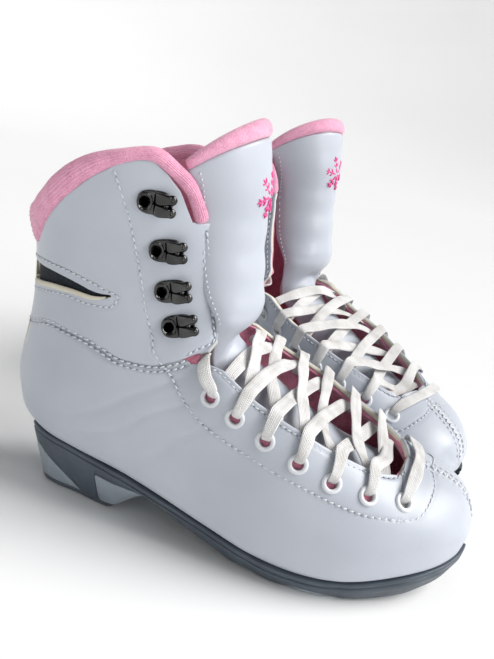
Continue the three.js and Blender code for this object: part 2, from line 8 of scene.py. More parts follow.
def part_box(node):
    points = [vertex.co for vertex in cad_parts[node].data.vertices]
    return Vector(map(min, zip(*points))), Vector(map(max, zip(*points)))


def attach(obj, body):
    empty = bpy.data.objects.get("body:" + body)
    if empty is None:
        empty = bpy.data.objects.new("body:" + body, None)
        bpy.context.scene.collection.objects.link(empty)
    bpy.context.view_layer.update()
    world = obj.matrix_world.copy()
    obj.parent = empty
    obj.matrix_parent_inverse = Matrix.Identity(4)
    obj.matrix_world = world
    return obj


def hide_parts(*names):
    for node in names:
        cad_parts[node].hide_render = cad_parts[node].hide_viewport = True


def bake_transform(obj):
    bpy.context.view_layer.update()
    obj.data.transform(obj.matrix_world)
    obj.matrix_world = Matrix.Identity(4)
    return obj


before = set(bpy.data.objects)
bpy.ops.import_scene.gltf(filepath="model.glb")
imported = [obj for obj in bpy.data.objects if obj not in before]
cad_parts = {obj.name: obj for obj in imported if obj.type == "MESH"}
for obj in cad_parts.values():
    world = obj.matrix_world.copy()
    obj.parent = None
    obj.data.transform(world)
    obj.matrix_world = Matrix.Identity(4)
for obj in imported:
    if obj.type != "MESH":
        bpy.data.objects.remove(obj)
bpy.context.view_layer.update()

# A pair of lace-up figure skate boots. Everything is drawn once, as the right boot, in millimetres
# with the toe towards +X and the big-toe side towards +Y. put() sets it into the row frame in metres,
# and mirrors it for the left boot. Most pieces follow one body form, addressed by station (0 at the
# toe tip, 13 at the heel, 21 at the collar), by angle (-90 at the sole or the back seam, 0 at the
# widest point, 90 at the toe or shin centre line), and by height above the leather.

LATERAL = -1
MEDIAL = 1
SIDES = {"lateral": LATERAL, "medial": MEDIAL}
BOOTS = ("right", "left")

# The same boot form, borders and lace route as the frame's own part
OUTSOLE_FAR_X = 248.12
OUTSOLE_NEAR_Y = -46.645
LEFT_BOOT_YAW = math.radians(-26)
LEFT_BOOT_SHIFT = (14.5, 133.5)
BOOT_MIDDLE = 125
EYELETS_PER_ROW = 7
HOOKS_PER_ROW = 4
EYELET_BORE = 3.3
FACING_THICKNESS = 3.8
OVER = 2.3
UNDER = -FACING_THICKNESS - 1.8
THROAT_END = 4.4

# back x, back z, front x, front z, half width, widest share, squareness below, above, sideways bend
SECTIONS = np.array([
    [248, 30, 248.5, 32, 1, .5, 2, 2, 9],
    [247, 25, 246.5, 42, 12.5, .5, 2.4, 2.1, 9],
    [242, 21, 240, 50, 24.5, .46, 3.2, 2.2, 8],
    [230, 17.5, 227, 57, 35, .42, 4.5, 2.2, 6],
    [211, 13.5, 208, 63, 42.5, .4, 6, 2.2, 3],
    [189, 10, 189.5, 69.5, 47, .38, 7, 2.1, 0],
    [167, 8.5, 171, 78, 48, .37, 7, 2, -1],
    [144, 10, 154, 88.5, 46, .37, 7, 2, -1],
    [119, 15.5, 137.5, 97.5, 42.5, .38, 7, 2, 0],
    [92, 22.5, 125, 105.5, 40, .4, 6.5, 2, 0],
    [66, 28, 117.5, 113, 38, .42, 5.5, 2, 0],
    [40, 31, 114, 119, 37, .45, 4, 2.1, 0],
    [17.5, 33.5, 112.5, 124.5, 36, .48, 3, 2.1, 0],
    [4, 40, 111, 130.5, 35, .5, 2.5, 2.1, 0],
    [-.5, 51, 110, 138, 34, .5, 2.3, 2.1, 0],
    [-2, 66.5, 109, 146.5, 33.5, .5, 2.2, 2.1, 0],
    [.5, 83, 108, 155, 33.5, .5, 2.2, 2.1, 0],
    [3, 101, 106, 163.5, 34, .5, 2.2, 2.1, 0],
    [3.5, 119, 104.5, 172.5, 36, .5, 2.2, 2.1, 0],
    [2.5, 137, 102.5, 182, 38.5, .5, 2.2, 2.1, 0],
    [-3, 155, 101, 192.5, 41, .5, 2.2, 2.1, 0],
    [-9.5, 172.5, 101, 203, 43, .5, 2.2, 2.1, 0],
])
SOLE_TOP = [[0, 36], [17.5, 35.5], [40, 33], [66, 30], [92, 24.5], [119, 17.5], [144, 12],
            [167, 10.5], [189, 11.5], [211, 15.5], [230, 19.5], [242, 23], [252, 26]]
SOLE_BOTTOM = [[0, 0], [62, 0], [67, 4], [77, 13], [84, 17], [94, 15], [110, 9.5], [119, 6.5],
               [133, 2.5], [150, .6], [160, 0], [192, 0], [211, 2.2], [222, 4], [230, 6.5],
               [242, 10], [252, 13.5]]
EYESTAY_BACK = [[3.6, 27.5], [4.6, 27.5], [6, 27], [7.4, 22.5], [9.1, 18], [10, 20], [11, 23]]
FACING_EDGE = [[3.6, 89.7], [3.95, 89.7], [4.1, 67], [4.65, 61], [5.35, 58.5], [6.65, 54],
               [7.3, 51.5], [8.15, 49], [9, 49], [9.6, 48], [10.1, 44.5], [10.5, 40.5], [10.85, 35]]
CUFF_SEAM = [[11, 34], [11.4, 31.5], [12.1, 18.5], [13.25, 7], [14.7, -4.5], [15.75, -21],
             [16.4, -41], [16.7, -86]]
CUFF_BOTTOM = [[-90, 16.72], [-41, 16.42], [-21, 15.77], [-4.5, 14.72], [7, 13.27], [18.5, 12.12],
               [31, 11.45], [41.5, 11.02], [49, 10.75], [56, 10.9]]
COLLAR_LINE = [[-90, 18.8], [-70, 18.72], [-53, 18.75], [-40, 19.2], [-17, 19.85], [-2, 20.25],
               [8, 20.45], [16, 20.5], [24, 20.4], [31, 19.95], [38.5, 19.2], [43.5, 17.9], [50, 17.7],
               [56, 17.6]]
# lower edge then upper edge of the collar roll, as pairs of [station, angle]
COLLAR_BAND = [[18.8, -90, 19.65, -90], [18.72, -70, 19.75, -70], [18.75, -53.5, 19.9, -51],
               [19.2, -40, 20.15, -37], [19.85, -17, 20.65, -15], [20.25, -2.5, 20.95, -1],
               [20.45, 8, 21, 8], [20.5, 16, 21, 17], [20.4, 23.5, 20.85, 26], [19.95, 30.5, 20.4, 34],
               [19.2, 38.5, 19.65, 44], [18.5, 41.7, 18.75, 49], [17.72, 43.3, 17.7, 52.3]]
MEDIAL_COLLAR_DROP = 0.3
FLAP_EDGE = [[10.6, 51], [11.3, 56], [13.2, 58], [15.6, 54], [17.5, 52.5], [19, 51]]
SLIT_MIDDLE = [[-84, 18.05], [-70, 18.02], [-50, 17.85], [-26, 17.4], [-9, 16.65], [3, 15.95]]
SLIT_BACK = -76
SLIT_FRONT = 1
# how far each side's front stands open, in degrees along the stations, turned about one angle
MEDIAL_OPENING = [[3.9, 0], [5, 14], [6.5, 24], [9, 32], [10, 30], [11.5, 24], [17, 22], [19, 12], [21, 0]]
LATERAL_OPENING = [[3.9, 0], [5, 5], [6.5, 9], [9, 12], [10, 9], [11, 0]]
OPENING_HINGE = 10
OPENING_FULL = 40
HOOK_TILT = 22


def along(points, x):
    table = np.asarray(points, float)
    return np.interp(x, table[:, 0], table[:, 1])


def softly(points, x, width):
    """along(), with the corners rounded over a width."""
    spread = np.linspace(-width, width, 9)
    return np.mean([along(points, np.asarray(x, float) + d) for d in spread], axis=0)


def smooth(low, high, x):
    share = np.clip((np.asarray(x, float) - low) / (high - low), 0, 1)
    return share * share * (3 - 2 * share)


def spline(a, b, d, e, s):
    """A smooth curve from b to d, led in from a and out to e."""
    return 0.5 * (2 * b + (d - a) * s + (2 * a - 5 * b + 4 * d - e) * s ** 2
                  + (3 * b - a - 3 * d + e) * s ** 3)


def circle(count):
    return np.linspace(0, 2 * math.pi, count, endpoint=False)


def section(t):
    last = len(SECTIONS) - 1
    i = np.clip(np.floor(t).astype(int), 0, last - 1)
    return spline(*(SECTIONS[np.clip(i + k, 0, last)] for k in (-1, 0, 1, 2)), (t - i)[..., None])


def out_and_up(t, angle):
    """Where an angle falls on a cross-section: out from its middle line, and up it from its back."""
    row = section(t)
    back_x, back_z, front_x, front_z, width, widest, below, above, _ = np.moveaxis(row, -1, 0)
    power = 2 / np.where(angle < 0, below, above)
    cosine = np.cos(np.radians(angle))
    rise = np.abs(np.sin(np.radians(angle))) ** power
    share = np.where(angle < 0, widest * (1 - rise), widest + (1 - widest) * rise)
    out = width * np.sign(cosine) * np.abs(cosine) ** power
    return out, share * np.hypot(front_x - back_x, front_z - back_z)


def skin(t, angle, side, opened=True):
    t, angle, side = np.broadcast_arrays(*(np.asarray(q, float) for q in (t, angle, side)))
    out, up = out_and_up(t, angle)
    if opened:
        hinge_out, hinge_up = out_and_up(t, np.full_like(t, OPENING_HINGE))
        opening = np.where(side < 0, along(LATERAL_OPENING, t), along(MEDIAL_OPENING, t))
        turn = np.radians(opening * smooth(OPENING_HINGE, OPENING_FULL, angle))
        across, rise = out - hinge_out, up - hinge_up
        out = hinge_out + across * np.cos(turn) + rise * np.sin(turn)
        up = hinge_up + rise * np.cos(turn) - across * np.sin(turn)
    back_x, back_z, front_x, front_z, *_, bend = np.moveaxis(section(t), -1, 0)
    length = np.hypot(front_x - back_x, front_z - back_z)
    return np.stack([back_x + up * (front_x - back_x) / length, bend + side * out,
                     back_z + up * (front_z - back_z) / length], -1)


def unit(v):
    return v / np.maximum(np.linalg.norm(v, axis=-1, keepdims=True), 1e-12)


def outward(t, angle, side, opened=True):
    inside, angle = np.clip(t, 0.06, 20.94), np.asarray(angle, float)
    lengthwise = skin(inside + 0.05, angle, side, opened) - skin(inside - 0.05, angle, side, opened)
    around = skin(inside, angle + 1, side, opened) - skin(inside, angle - 1, side, opened)
    return unit(np.cross(lengthwise, around) * np.asarray(side, float)[..., None])


def on_boot(t, angle, side, height, opened=True):
    t, angle, side, height = np.broadcast_arrays(*(np.asarray(q, float) for q in (t, angle, side, height)))
    return skin(t, angle, side, opened) + outward(t, angle, side, opened) * height[..., None]


def lower_on_medial(station, angle, side):
    return station - MEDIAL_COLLAR_DROP * (side > 0) * smooth(-90, -30, angle)


def collar_line(angle, side):
    return lower_on_medial(along(COLLAR_LINE, angle), angle, side)


def sole_angle(t):
    """The angle at which a cross-section meets the top of the sole."""
    t = np.asarray(t, float)

    def above(angle):
        point = skin(t, angle, 1)
        return point[..., 2] - along(SOLE_TOP, point[..., 0]) - 0.3

    low, high = np.full_like(t, -89.9), np.zeros_like(t)
    clear = above(low) > 0
    for _ in range(30):
        middle = (low + high) / 2
        over = above(middle) > 0
        high, low = np.where(over, middle, high), np.where(over, low, middle)
    return np.where(clear, -89.9, high)


# Meshes

def grid_faces(rows, columns, wrap=False):
    """Quads of a grid of points, and each corner's (row, column) with the wrapped column unrolled."""
    i, j = np.meshgrid(np.arange(rows - 1), np.arange(columns if wrap else columns - 1), indexing="ij")
    i, j = i.ravel(), j.ravel()
    corners = np.stack([np.stack([i, j], -1), np.stack([i + 1, j], -1),
                        np.stack([i + 1, j + 1], -1), np.stack([i, j + 1], -1)], 1)
    return corners[..., 0] * columns + corners[..., 1] % columns, corners


class Shape:
    """Points in millimetres, faces of 3 or 4 corners, a finish number and texture place for each face."""

    def __init__(self, points, faces, finish=None, uv=None):
        self.points = np.asarray(points, float).reshape(-1, 3)
        self.faces = [list(map(int, f)) for f in faces]
        self.finish = np.zeros(len(self.faces), int) if finish is None else np.asarray(finish, int)
        self.uv = uv if uv is not None else [[(0.0, 0.0)] * len(f) for f in self.faces]

    def painted(self, number):
        return Shape(self.points, self.faces, np.full(len(self.faces), number), self.uv)

    def mesh(self, name, materials=()):
        data = bpy.data.meshes.new(name)
        data.from_pydata(self.points.tolist(), [], self.faces)
        for material in materials:
            data.materials.append(material)
        layer = data.uv_layers.new(name="UVMap")
        layer.data.foreach_set("uv", np.array([c for f in self.uv for c in f], np.float32).ravel())
        data.polygons.foreach_set("material_index", self.finish)
        data.polygons.foreach_set("use_smooth", np.ones(len(self.faces), bool))
        data.update()
        return data


def joined(shapes):
    points, faces, finish, uv, start = [], [], [], [], 0
    for s in shapes:
        points.append(s.points)
        faces += [[k + start for k in f] for f in s.faces]
        finish.append(s.finish)
        uv += list(s.uv)
        start += len(s.points)
    return Shape(np.vstack(points), faces, np.concatenate(finish), uv)


def arc_lengths(grid, axis):
    steps = np.linalg.norm(np.diff(grid, axis=axis), axis=-1)
    start = np.zeros_like(np.take(steps, [0], axis=axis))
    return np.concatenate([start, np.cumsum(steps, axis=axis)], axis=axis)


def grid_normals(grid, towards):
    """Normals of a grid of points, on the side that looks towards a direction."""
    normals = unit(np.cross(np.gradient(grid, axis=0), np.gradient(grid, axis=1)))
    return normals * np.sign(np.sum(normals * towards))


def shell(grid, thick, towards, edge=0.8, relief=None, rounded=(1, 1, 1, 1), bulge=0.0):
    """A closed panel under a grid of surface points, with rounded borders. Finish 1 is its cut edge."""
    normals = grid_normals(grid, towards)
    lengths = [arc_lengths(grid, 0), arc_lengths(grid, 1)]
    to_border = [lengths[0], lengths[0][-1:] - lengths[0], lengths[1], lengths[1][:, -1:] - lengths[1]]
    drop = np.zeros(grid.shape[:2])
    nearest = np.full(grid.shape[:2], 1e9)
    for distance, wanted in zip(to_border, rounded):
        if wanted:
            inside = 1 - np.clip(distance / edge, 0, 1)
            drop = np.maximum(drop, edge * (1 - np.sqrt(np.maximum(1 - inside ** 2, 0))))
            nearest = np.minimum(nearest, distance)
    height = -drop + (0 if relief is None else relief) + bulge * smooth(0, 9, nearest)
    outer = grid + normals * height[..., None]
    inner = grid - normals * np.broadcast_to(thick, grid.shape[:2])[..., None]
    rows, columns = grid.shape[:2]
    quads, _ = grid_faces(rows, columns)
    count = rows * columns
    place = np.stack(lengths, -1).reshape(-1, 2)
    border = np.concatenate([
        np.arange(columns), np.arange(1, rows) * columns + columns - 1,
        (rows - 1) * columns + np.arange(columns - 2, -1, -1), np.arange(rows - 2, 0, -1) * columns])
    after = np.roll(border, -1)
    rim = np.stack([border, after, after + count, border + count], -1)
    faces = np.concatenate([quads, quads[:, ::-1] + count, rim])
    finish = np.concatenate([np.zeros(len(quads)), np.full(len(quads), 2), np.ones(len(rim))])
    uv = np.concatenate([place, place])[faces]
    return facing_out(Shape(np.stack([outer, inner]), faces, finish, uv.tolist()))


def tube(rings, closed=False, finish=0):
    """A solid through rings of points that go round the same way, capped or joined end to end."""
    rings = np.asarray(rings, float)
    rows, columns = rings.shape[:2]
    lengths = arc_lengths(rings.mean(axis=1), 0)
    around = arc_lengths(np.concatenate([rings[0], rings[0][:1]]), 0)
    quads, corners = grid_faces(rows, columns, wrap=True)
    uv = np.stack([lengths[corners[..., 0]], around[corners[..., 1]]], -1).tolist()
    faces = quads.tolist()
    last = (rows - 1) * columns
    if closed:
        faces += [[last + j, j, (j + 1) % columns, last + (j + 1) % columns] for j in range(columns)]
        uv += [[(0.0, 0.0)] * 4] * columns
    else:
        faces += [list(range(columns))[::-1], list(range(last, last + columns))]
        uv += [[(0.0, 0.0)] * columns] * 2
    return facing_out(Shape(rings, faces, np.full(len(faces), finish), uv))


def facing_out(shape):
    """The same shape, turned inside out if its faces look inwards."""
    points, total = shape.points - shape.points.mean(axis=0), 0.0
    for f in shape.faces:
        a, b, c = (points[k] for k in f[:3])
        total += float(np.dot(a, np.cross(b, c)))
        if len(f) == 4:
            total += float(np.dot(a, np.cross(c, points[f[3]])))
    if total < 0:
        shape.faces = [f[::-1] for f in shape.faces]
        shape.uv = [list(c)[::-1] for c in shape.uv]
    return shape


FINISHES = [bpy.data.materials.new(f"finish_{i}") for i in range(3)]


def place_object(name, data):
    thing = bpy.data.objects.new(name, data)
    bpy.context.scene.collection.objects.link(thing)
    return thing


def cut(shape, cutter, operation="DIFFERENCE"):
    """The shape after a boolean with a cutter."""
    work = place_object("work", shape.mesh("work", FINISHES))
    tool = place_object("cutter", cutter.mesh("cutter", FINISHES))
    modifier = work.modifiers.new("Boolean", "BOOLEAN")
    modifier.operation = operation
    modifier.object = tool
    modifier.solver = "EXACT"
    bpy.context.view_layer.update()
    data = bpy.data.meshes.new_from_object(work.evaluated_get(bpy.context.evaluated_depsgraph_get()))
    points = np.empty(len(data.vertices) * 3)
    data.vertices.foreach_get("co", points)
    loops = np.empty(len(data.loops) * 2)
    data.uv_layers.active.data.foreach_get("uv", loops)
    loops = loops.reshape(-1, 2)
    faces = [list(p.vertices) for p in data.polygons]
    uv = [loops[p.loop_start:p.loop_start + p.loop_total].tolist() for p in data.polygons]
    finish = [p.material_index for p in data.polygons]
    for old in (work, tool):
        bpy.data.objects.remove(old)
    return Shape(points, faces, finish, uv)


# Places in the row frame

low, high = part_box("right_outsole")
ORIGIN = np.array([high.x * 1000 - OUTSOLE_FAR_X, low.y * 1000 - OUTSOLE_NEAR_Y, 0])


def row_point(points, boot):
    """Boot millimetres to row-frame metres."""
    points = np.array(points, float)
    if boot == "left":
        cosine, sine = math.cos(LEFT_BOOT_YAW), math.sin(LEFT_BOOT_YAW)
        x, y = points[..., 0] - BOOT_MIDDLE, -points[..., 1]
        points = np.stack([BOOT_MIDDLE + LEFT_BOOT_SHIFT[0] + x * cosine - y * sine,
                           LEFT_BOOT_SHIFT[1] + x * sine + y * cosine, points[..., 2]], -1)
    return (points + ORIGIN) / 1000


def put(name, shape, materials, body="boot", replaces=(), blend=None):
    """Both boots' copies of a piece, riding on their bodies, or left in place on no body when blend is given.
    """
    pieces = []
    for boot in BOOTS:
        data = shape.mesh(f"{boot}_{name}", materials)
        data.vertices.foreach_set("co", row_point(shape.points, boot).ravel())
        if boot == "left":
            data.flip_normals()
        data.update()
        piece = place_object(f"{boot}_{name}", data)
        if blend:
            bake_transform(piece)
        else:
            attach(piece, f"{boot}_{body}")
        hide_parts(*(f"{boot}_{node}" for node in replaces))
        pieces.append(piece)
    return pieces


# Materials

def new_material(name, color, roughness, **sockets):
    material = bpy.data.materials.new(name)
    material.use_nodes = True
    tree = material.node_tree
    shader = tree.nodes["Principled BSDF"]
    shader.inputs["Base Color"].default_value = (*color, 1)
    shader.inputs["Roughness"].default_value = roughness
    for key, value in sockets.items():
        shader.inputs[key.replace("_", " ")].default_value = value
    return material, tree, shader


def node(tree, kind, **settings):
    made = tree.nodes.new(kind)
    for key, value in settings.items():
        if key in made.inputs:
            made.inputs[key].default_value = value
        else:
            setattr(made, key, value)
    return made


def texture(tree, kind, **settings):
    """A texture in the object's own coordinates."""
    made = node(tree, kind, **settings)
    tree.links.new(node(tree, "ShaderNodeTexCoord").outputs["Object"], made.inputs["Vector"])
    return made


def noise(tree, scale, detail=3):
    return texture(tree, "ShaderNodeTexNoise", Scale=scale, Detail=detail).outputs["Fac"]


def cells(tree, scale, feature="F1"):
    return texture(tree, "ShaderNodeTexVoronoi", Scale=scale, feature=feature).outputs["Distance"]


def ramp(tree, value, stops):
    """A colour ramp over stops of (place, (r, g, b))."""
    made = node(tree, "ShaderNodeValToRGB")
    elements = made.color_ramp.elements
    while len(elements) < len(stops):
        elements.new(0.5)
    for element, (place, color) in zip(elements, stops):
        element.position = place
        element.color = (*color, 1)
    tree.links.new(value, made.inputs["Fac"])
    return made.outputs["Color"]


def remap(tree, value, low_in, high_in, low_out, high_out):
    made = node(tree, "ShaderNodeMapRange")
    numbers = {"From Min": low_in, "From Max": high_in, "To Min": low_out, "To Max": high_out}
    for key, number in numbers.items():
        made.inputs[key].default_value = number
    tree.links.new(value, made.inputs["Value"])
    return made.outputs["Result"]


def mathed(tree, operation, first, second=0):
    made = node(tree, "ShaderNodeMath", operation=operation)
    for socket, value in zip(made.inputs, (first, second)):
        if isinstance(value, (int, float)):
            socket.default_value = value
        else:
            tree.links.new(value, socket)
    return made.outputs["Value"]


def mixed(tree, first, share, second, other_share):
    first = mathed(tree, "MULTIPLY", first, share)
    return mathed(tree, "ADD", first, mathed(tree, "MULTIPLY", second, other_share))


def bump(tree, shader, layers):
    """Stacked bumps, each (value, depth in metres, strength)."""
    normal = None
    for value, depth, strength in layers:
        made = node(tree, "ShaderNodeBump", Distance=depth, Strength=strength)
        tree.links.new(value, made.inputs["Height"])
        if normal:
            tree.links.new(normal, made.inputs["Normal"])
        normal = made.outputs["Normal"]
    tree.links.new(normal, shader.inputs["Normal"])


def mottled(name, light, dark, roughness, tint, polish, **sockets):
    """Noise in the colour (scale, detail, low, high) and in the roughness (scale, detail, less, more)."""
    material, tree, shader = new_material(name, light, roughness, **sockets)
    scale, detail, low, high = tint
    color = ramp(tree, noise(tree, scale, detail), [(low, dark), (high, light)])
    tree.links.new(color, shader.inputs["Base Color"])
    scale, detail, less, more = polish
    tree.links.new(remap(tree, noise(tree, scale, detail), 0.3, 0.7, roughness - less, roughness + more),
                   shader.inputs["Roughness"])
    return material, tree, shader


def leather(name, light, dark, roughness, grain, coat):
    material, tree, shader = mottled(name, light, dark, roughness, (22, 4, 0.32, 0.62), (60, 3, 0.06, 0.08),
                                     Coat_Weight=coat, Coat_Roughness=0.3)
    bump(tree, shader, [
        (cells(tree, 1500, "SMOOTH_F1"), 0.00006 * grain, 0.55),
        (noise(tree, 420, 4), 0.00010 * grain, 0.4),
        (noise(tree, 30, 2), 0.0007, 0.10),
    ])
    return material


def cloth(name, light, dark, scale=1700, depth=0.0003, sheen=0.5):
    """Looped or brushed cloth."""
    material, tree, shader = new_material(
        name, light, 0.92, Sheen_Weight=sheen, Sheen_Roughness=0.45, Specular_IOR_Level=0.2)
    loops = cells(tree, scale)
    tint = mixed(tree, loops, 0.55, noise(tree, 260, 4), 0.6)
    tree.links.new(ramp(tree, tint, [(0.25, dark), (0.75, light)]), shader.inputs["Base Color"])
    bump(tree, shader, [(loops, depth, 0.8), (noise(tree, 700, 4), depth, 0.5)])
    return material


def lace_cloth():
    """A herringbone weave in the ribbon's own millimetres, slightly soiled."""
    material, tree, shader = new_material(
        "lace_cotton", (0.80, 0.785, 0.74), 0.88,
        Sheen_Weight=0.35, Sheen_Roughness=0.5, Specular_IOR_Level=0.25)
    split = node(tree, "ShaderNodeSeparateXYZ")
    tree.links.new(node(tree, "ShaderNodeTexCoord").outputs["UV"], split.inputs["Vector"])
    u, v = split.outputs["X"], split.outputs["Y"]
    slant = mathed(tree, "ABSOLUTE", mathed(tree, "SUBTRACT", mathed(tree, "MODULO", v, 3.1), 1.55))
    chevron = mathed(tree, "SINE", mathed(tree, "MULTIPLY", mathed(tree, "ADD", u, slant), 2 * math.pi))
    strands = mathed(tree, "SINE", mathed(tree, "MULTIPLY", v, 2 * math.pi / 0.78))
    weave = mixed(tree, chevron, 0.6, strands, 0.4)
    soil = mixed(tree, weave, 0.12, noise(tree, 90, 5), 1)
    tree.links.new(ramp(tree, soil, [(0.28, (0.64, 0.62, 0.60)), (0.6, (0.88, 0.875, 0.87))]),
                   shader.inputs["Base Color"])
    bump(tree, shader, [(weave, 0.00035, 0.8), (noise(tree, 1500, 3), 0.0001, 0.5)])
    return material


def moulded(name, light, dark, roughness, grain=0.00008):
    material, tree, shader = mottled(name, light, dark, roughness, (45, 5, 0.3, 0.7), (130, 4, 0.08, 0.1))
    bump(tree, shader, [(noise(tree, 900, 3), grain, 0.5), (noise(tree, 60, 2), 0.0004, 0.08)])
    return material


def metal(name, light, dark, roughness):
    material, tree, shader = mottled(name, light, dark, roughness, (120, 3, 0.35, 0.65), (500, 4, 0, 0.1),
                                     Metallic=1.0, Coat_Weight=0.2)
    bump(tree, shader, [(noise(tree, 300, 2), 0.00006, 0.15)])
    return material


WHITE = leather("white_leather", (0.47, 0.50, 0.56), (0.43, 0.46, 0.52), 0.4, 1.0, 0.16)
CREAM = leather("cream_edge", (0.72, 0.68, 0.57), (0.58, 0.54, 0.44), 0.7, 2.0, 0.0)
GREY_INSIDE = cloth("leather_reverse", (0.52, 0.50, 0.47), (0.40, 0.38, 0.36), scale=900, sheen=0.2)
TERRY = cloth("pink_terry", (0.84, 0.41, 0.56), (0.60, 0.24, 0.37))
LINING = cloth("pink_lining", (0.72, 0.27, 0.38), (0.50, 0.16, 0.25), scale=1300)
FOOTBED = cloth("footbed_cloth", (0.56, 0.28, 0.36), (0.38, 0.17, 0.23), scale=1100)
RUBBER = moulded("slate_rubber", (0.066, 0.086, 0.110), (0.040, 0.054, 0.071), 0.42)
PALE = moulded("pale_insert", (0.30, 0.345, 0.39), (0.20, 0.235, 0.27), 0.4)
BOARD = moulded("fibre_board", (0.46, 0.34, 0.21), (0.34, 0.24, 0.14), 0.85, 0.0003)
NICKEL = metal("black_nickel", (0.075, 0.074, 0.073), (0.045, 0.044, 0.044), 0.09)
LACE = lace_cloth()
THREAD = cloth("white_thread", (0.66, 0.68, 0.72), (0.52, 0.54, 0.58), 2600, 0.0001, 0.2)
PINK_THREAD = cloth("pink_thread", (0.85, 0.12, 0.36), (0.60, 0.05, 0.20), 2600, 0.0001, 0.3)
# painted shade: mid grey of shadowed leather for the needle holes between stitches
HOLE_SHADE = cloth("needle_hole_shade", (0.30, 0.32, 0.36), (0.20, 0.22, 0.25), scale=2000, sheen=0.0)
ENAMEL = moulded("white_enamel", (0.66, 0.68, 0.71), (0.60, 0.62, 0.65), 0.22, 0.00003)
# painted shade: near-black sheet behind the ankle slit, for the slit's dark inside
SLIT_SHADE = cloth("slit_shade_black", (0.020, 0.024, 0.032), (0.010, 0.012, 0.017), scale=900, sheen=0.05)


# Seams, as (station, angle) on each side

CUFF_STITCH = [(16.62, -86), (16.4, -41), (15.75, -21), (14.7, -4.5), (13.25, 7), (12.1, 18.5), (11.55, 27),
               (11.32, 33)]
FLAP_STITCH = [(11.4, 35), (11.25, 42), (11.05, 48), (11.05, 50.5), (11.25, 52.6), (11.7, 53.4), (13.1, 54.2),
               (15.6, 50.8), (17.3, 49.2)]
SHAFT_STITCH = [(20.4, 6), (19.45, 8), (17.2, 12.5), (13.8, 21.5), (12.65, 21.5), (11, 23), (9.1, 18),
                (7.45, 22.5), (6.05, 28), (4.6, 27.5), (3.85, 29), (3.45, 37), (3.2, 64.5), (3.25, 86)]
FACING_STITCH = [(10.5, 37.5), (10.2, 41), (9.75, 45), (9.1, 46), (8.15, 46), (7.3, 48.2), (6.6, 50.8),
                 (5.35, 55.2), (4.7, 57.8), (4.25, 62), (3.98, 72)]
SLIT_STITCH = [(18.5, -80), (18.3, -50.5), (17.8, -26.5), (17.05, -9.5), (16.4, 0), (16.12, 3.6), (15.9, 3.8),
               (15.78, 1), (16.25, -9), (16.95, -26), (17.35, -49.5), (17.5, -80)]


def smooth_line(points, pieces=24):
    points = np.asarray(points, float)
    padded = np.vstack([2 * points[0] - points[1], points, 2 * points[-1] - points[-2]])
    s = np.linspace(0, 1, pieces, endpoint=False)[:, None]
    return np.vstack([*(spline(*padded[i - 1:i + 3], s) for i in range(1, len(padded) - 2)), points[-1:]])


def seam_line(points, side, height=0.0, offset=0.0):
    """A smooth seam in millimetres with its normals, shifted sideways along the leather by an offset."""
    line = smooth_line(points)
    place = on_boot(line[:, 0], line[:, 1], side, height)
    up = outward(line[:, 0], line[:, 1], np.full(len(line), float(side)))
    if offset:
        place = place + np.cross(up, unit(np.gradient(place, axis=0))) * offset * side
    return place, up


def evenly(place, extra, pitch):
    lengths = arc_lengths(place, 0)
    at = np.arange(pitch / 2, lengths[-1], pitch)
    pick = lambda q: np.stack([np.interp(at, lengths, q[:, k]) for k in range(3)], -1)
    return pick(place), unit(pick(unit(np.gradient(place, axis=0)))), unit(pick(extra))


def capsules(starts, ends, ups, radius, sides=6):
    """Short rounded threads from starts to ends."""
    turns = circle(sides)
    profile = [(0.0, 0.12), (0.06, 0.62), (0.22, 0.95), (0.5, 1.08), (0.78, 0.95), (0.94, 0.62), (1.0, 0.12)]
    shapes = []
    for start, end, up in zip(starts, ends, ups):
        ahead = unit(end - start)
        side = unit(np.cross(up, ahead))
        top = np.cross(ahead, side)
        sag = up * radius * 0.5
        rings = [start + (end - start) * s - sag * (2 * s - 1) ** 2 + radius * r * (
            np.cos(turns)[:, None] * side + np.sin(turns)[:, None] * top) for s, r in profile]
        shapes.append(tube(rings))
    return shapes


def stitch_row(points, side, height=0.0, offset=0.0, pitch=3.4, length=2.3, radius=0.44):
    """Threads along a seam, with a dark capsule between each two, painted as the shade of a needle hole."""
    place, up = seam_line(points, side, height, offset)
    at, ahead, normal = evenly(place, up, pitch)
    slant = np.cross(normal, ahead) * 0.25
    threads = capsules(at - ahead * length / 2 - slant, at + ahead * length / 2 + slant, normal, radius)
    between = at + ahead * pitch / 2 - normal * 0.42
    half = ahead * 0.5 - slant * 0.5
    # sunken grey capsules, painted as the shade in each needle hole
    hole_shades = capsules(between - half, between + half, normal, 0.36)
    return threads + [hole.painted(1) for hole in hole_shades]


# Leather panels

def groove(grid, lines, depth=0.55, width=0.85):
    """Relief that sinks the leather along seams."""
    flat = grid.reshape(-1, 3)
    nearest = np.full(len(flat), 1e9)
    for line in lines:
        samples = line[::3]
        near = np.flatnonzero(np.all((flat > samples.min(0) - 4) & (flat < samples.max(0) + 4), axis=1))
        for chunk in np.array_split(near, max(1, len(near) // 4000)):
            gaps = np.linalg.norm(flat[chunk][:, None] - samples[None], axis=-1).min(axis=1)
            nearest[chunk] = np.minimum(nearest[chunk], gaps)
    return (-depth * np.exp(-(nearest / width) ** 2)).reshape(grid.shape[:2])


def spaced(count, length, edge=0.8):
    """Shares from 0 to 1 with extra ones close to both ends, for rounded borders."""
    near = np.array([0.0, 0.12, 0.35, 0.7, 1.0]) * edge / length
    inner = np.linspace(near[-1], 1 - near[-1], count)
    return np.concatenate([near[:-1], inner, 1 - near[-2::-1]])


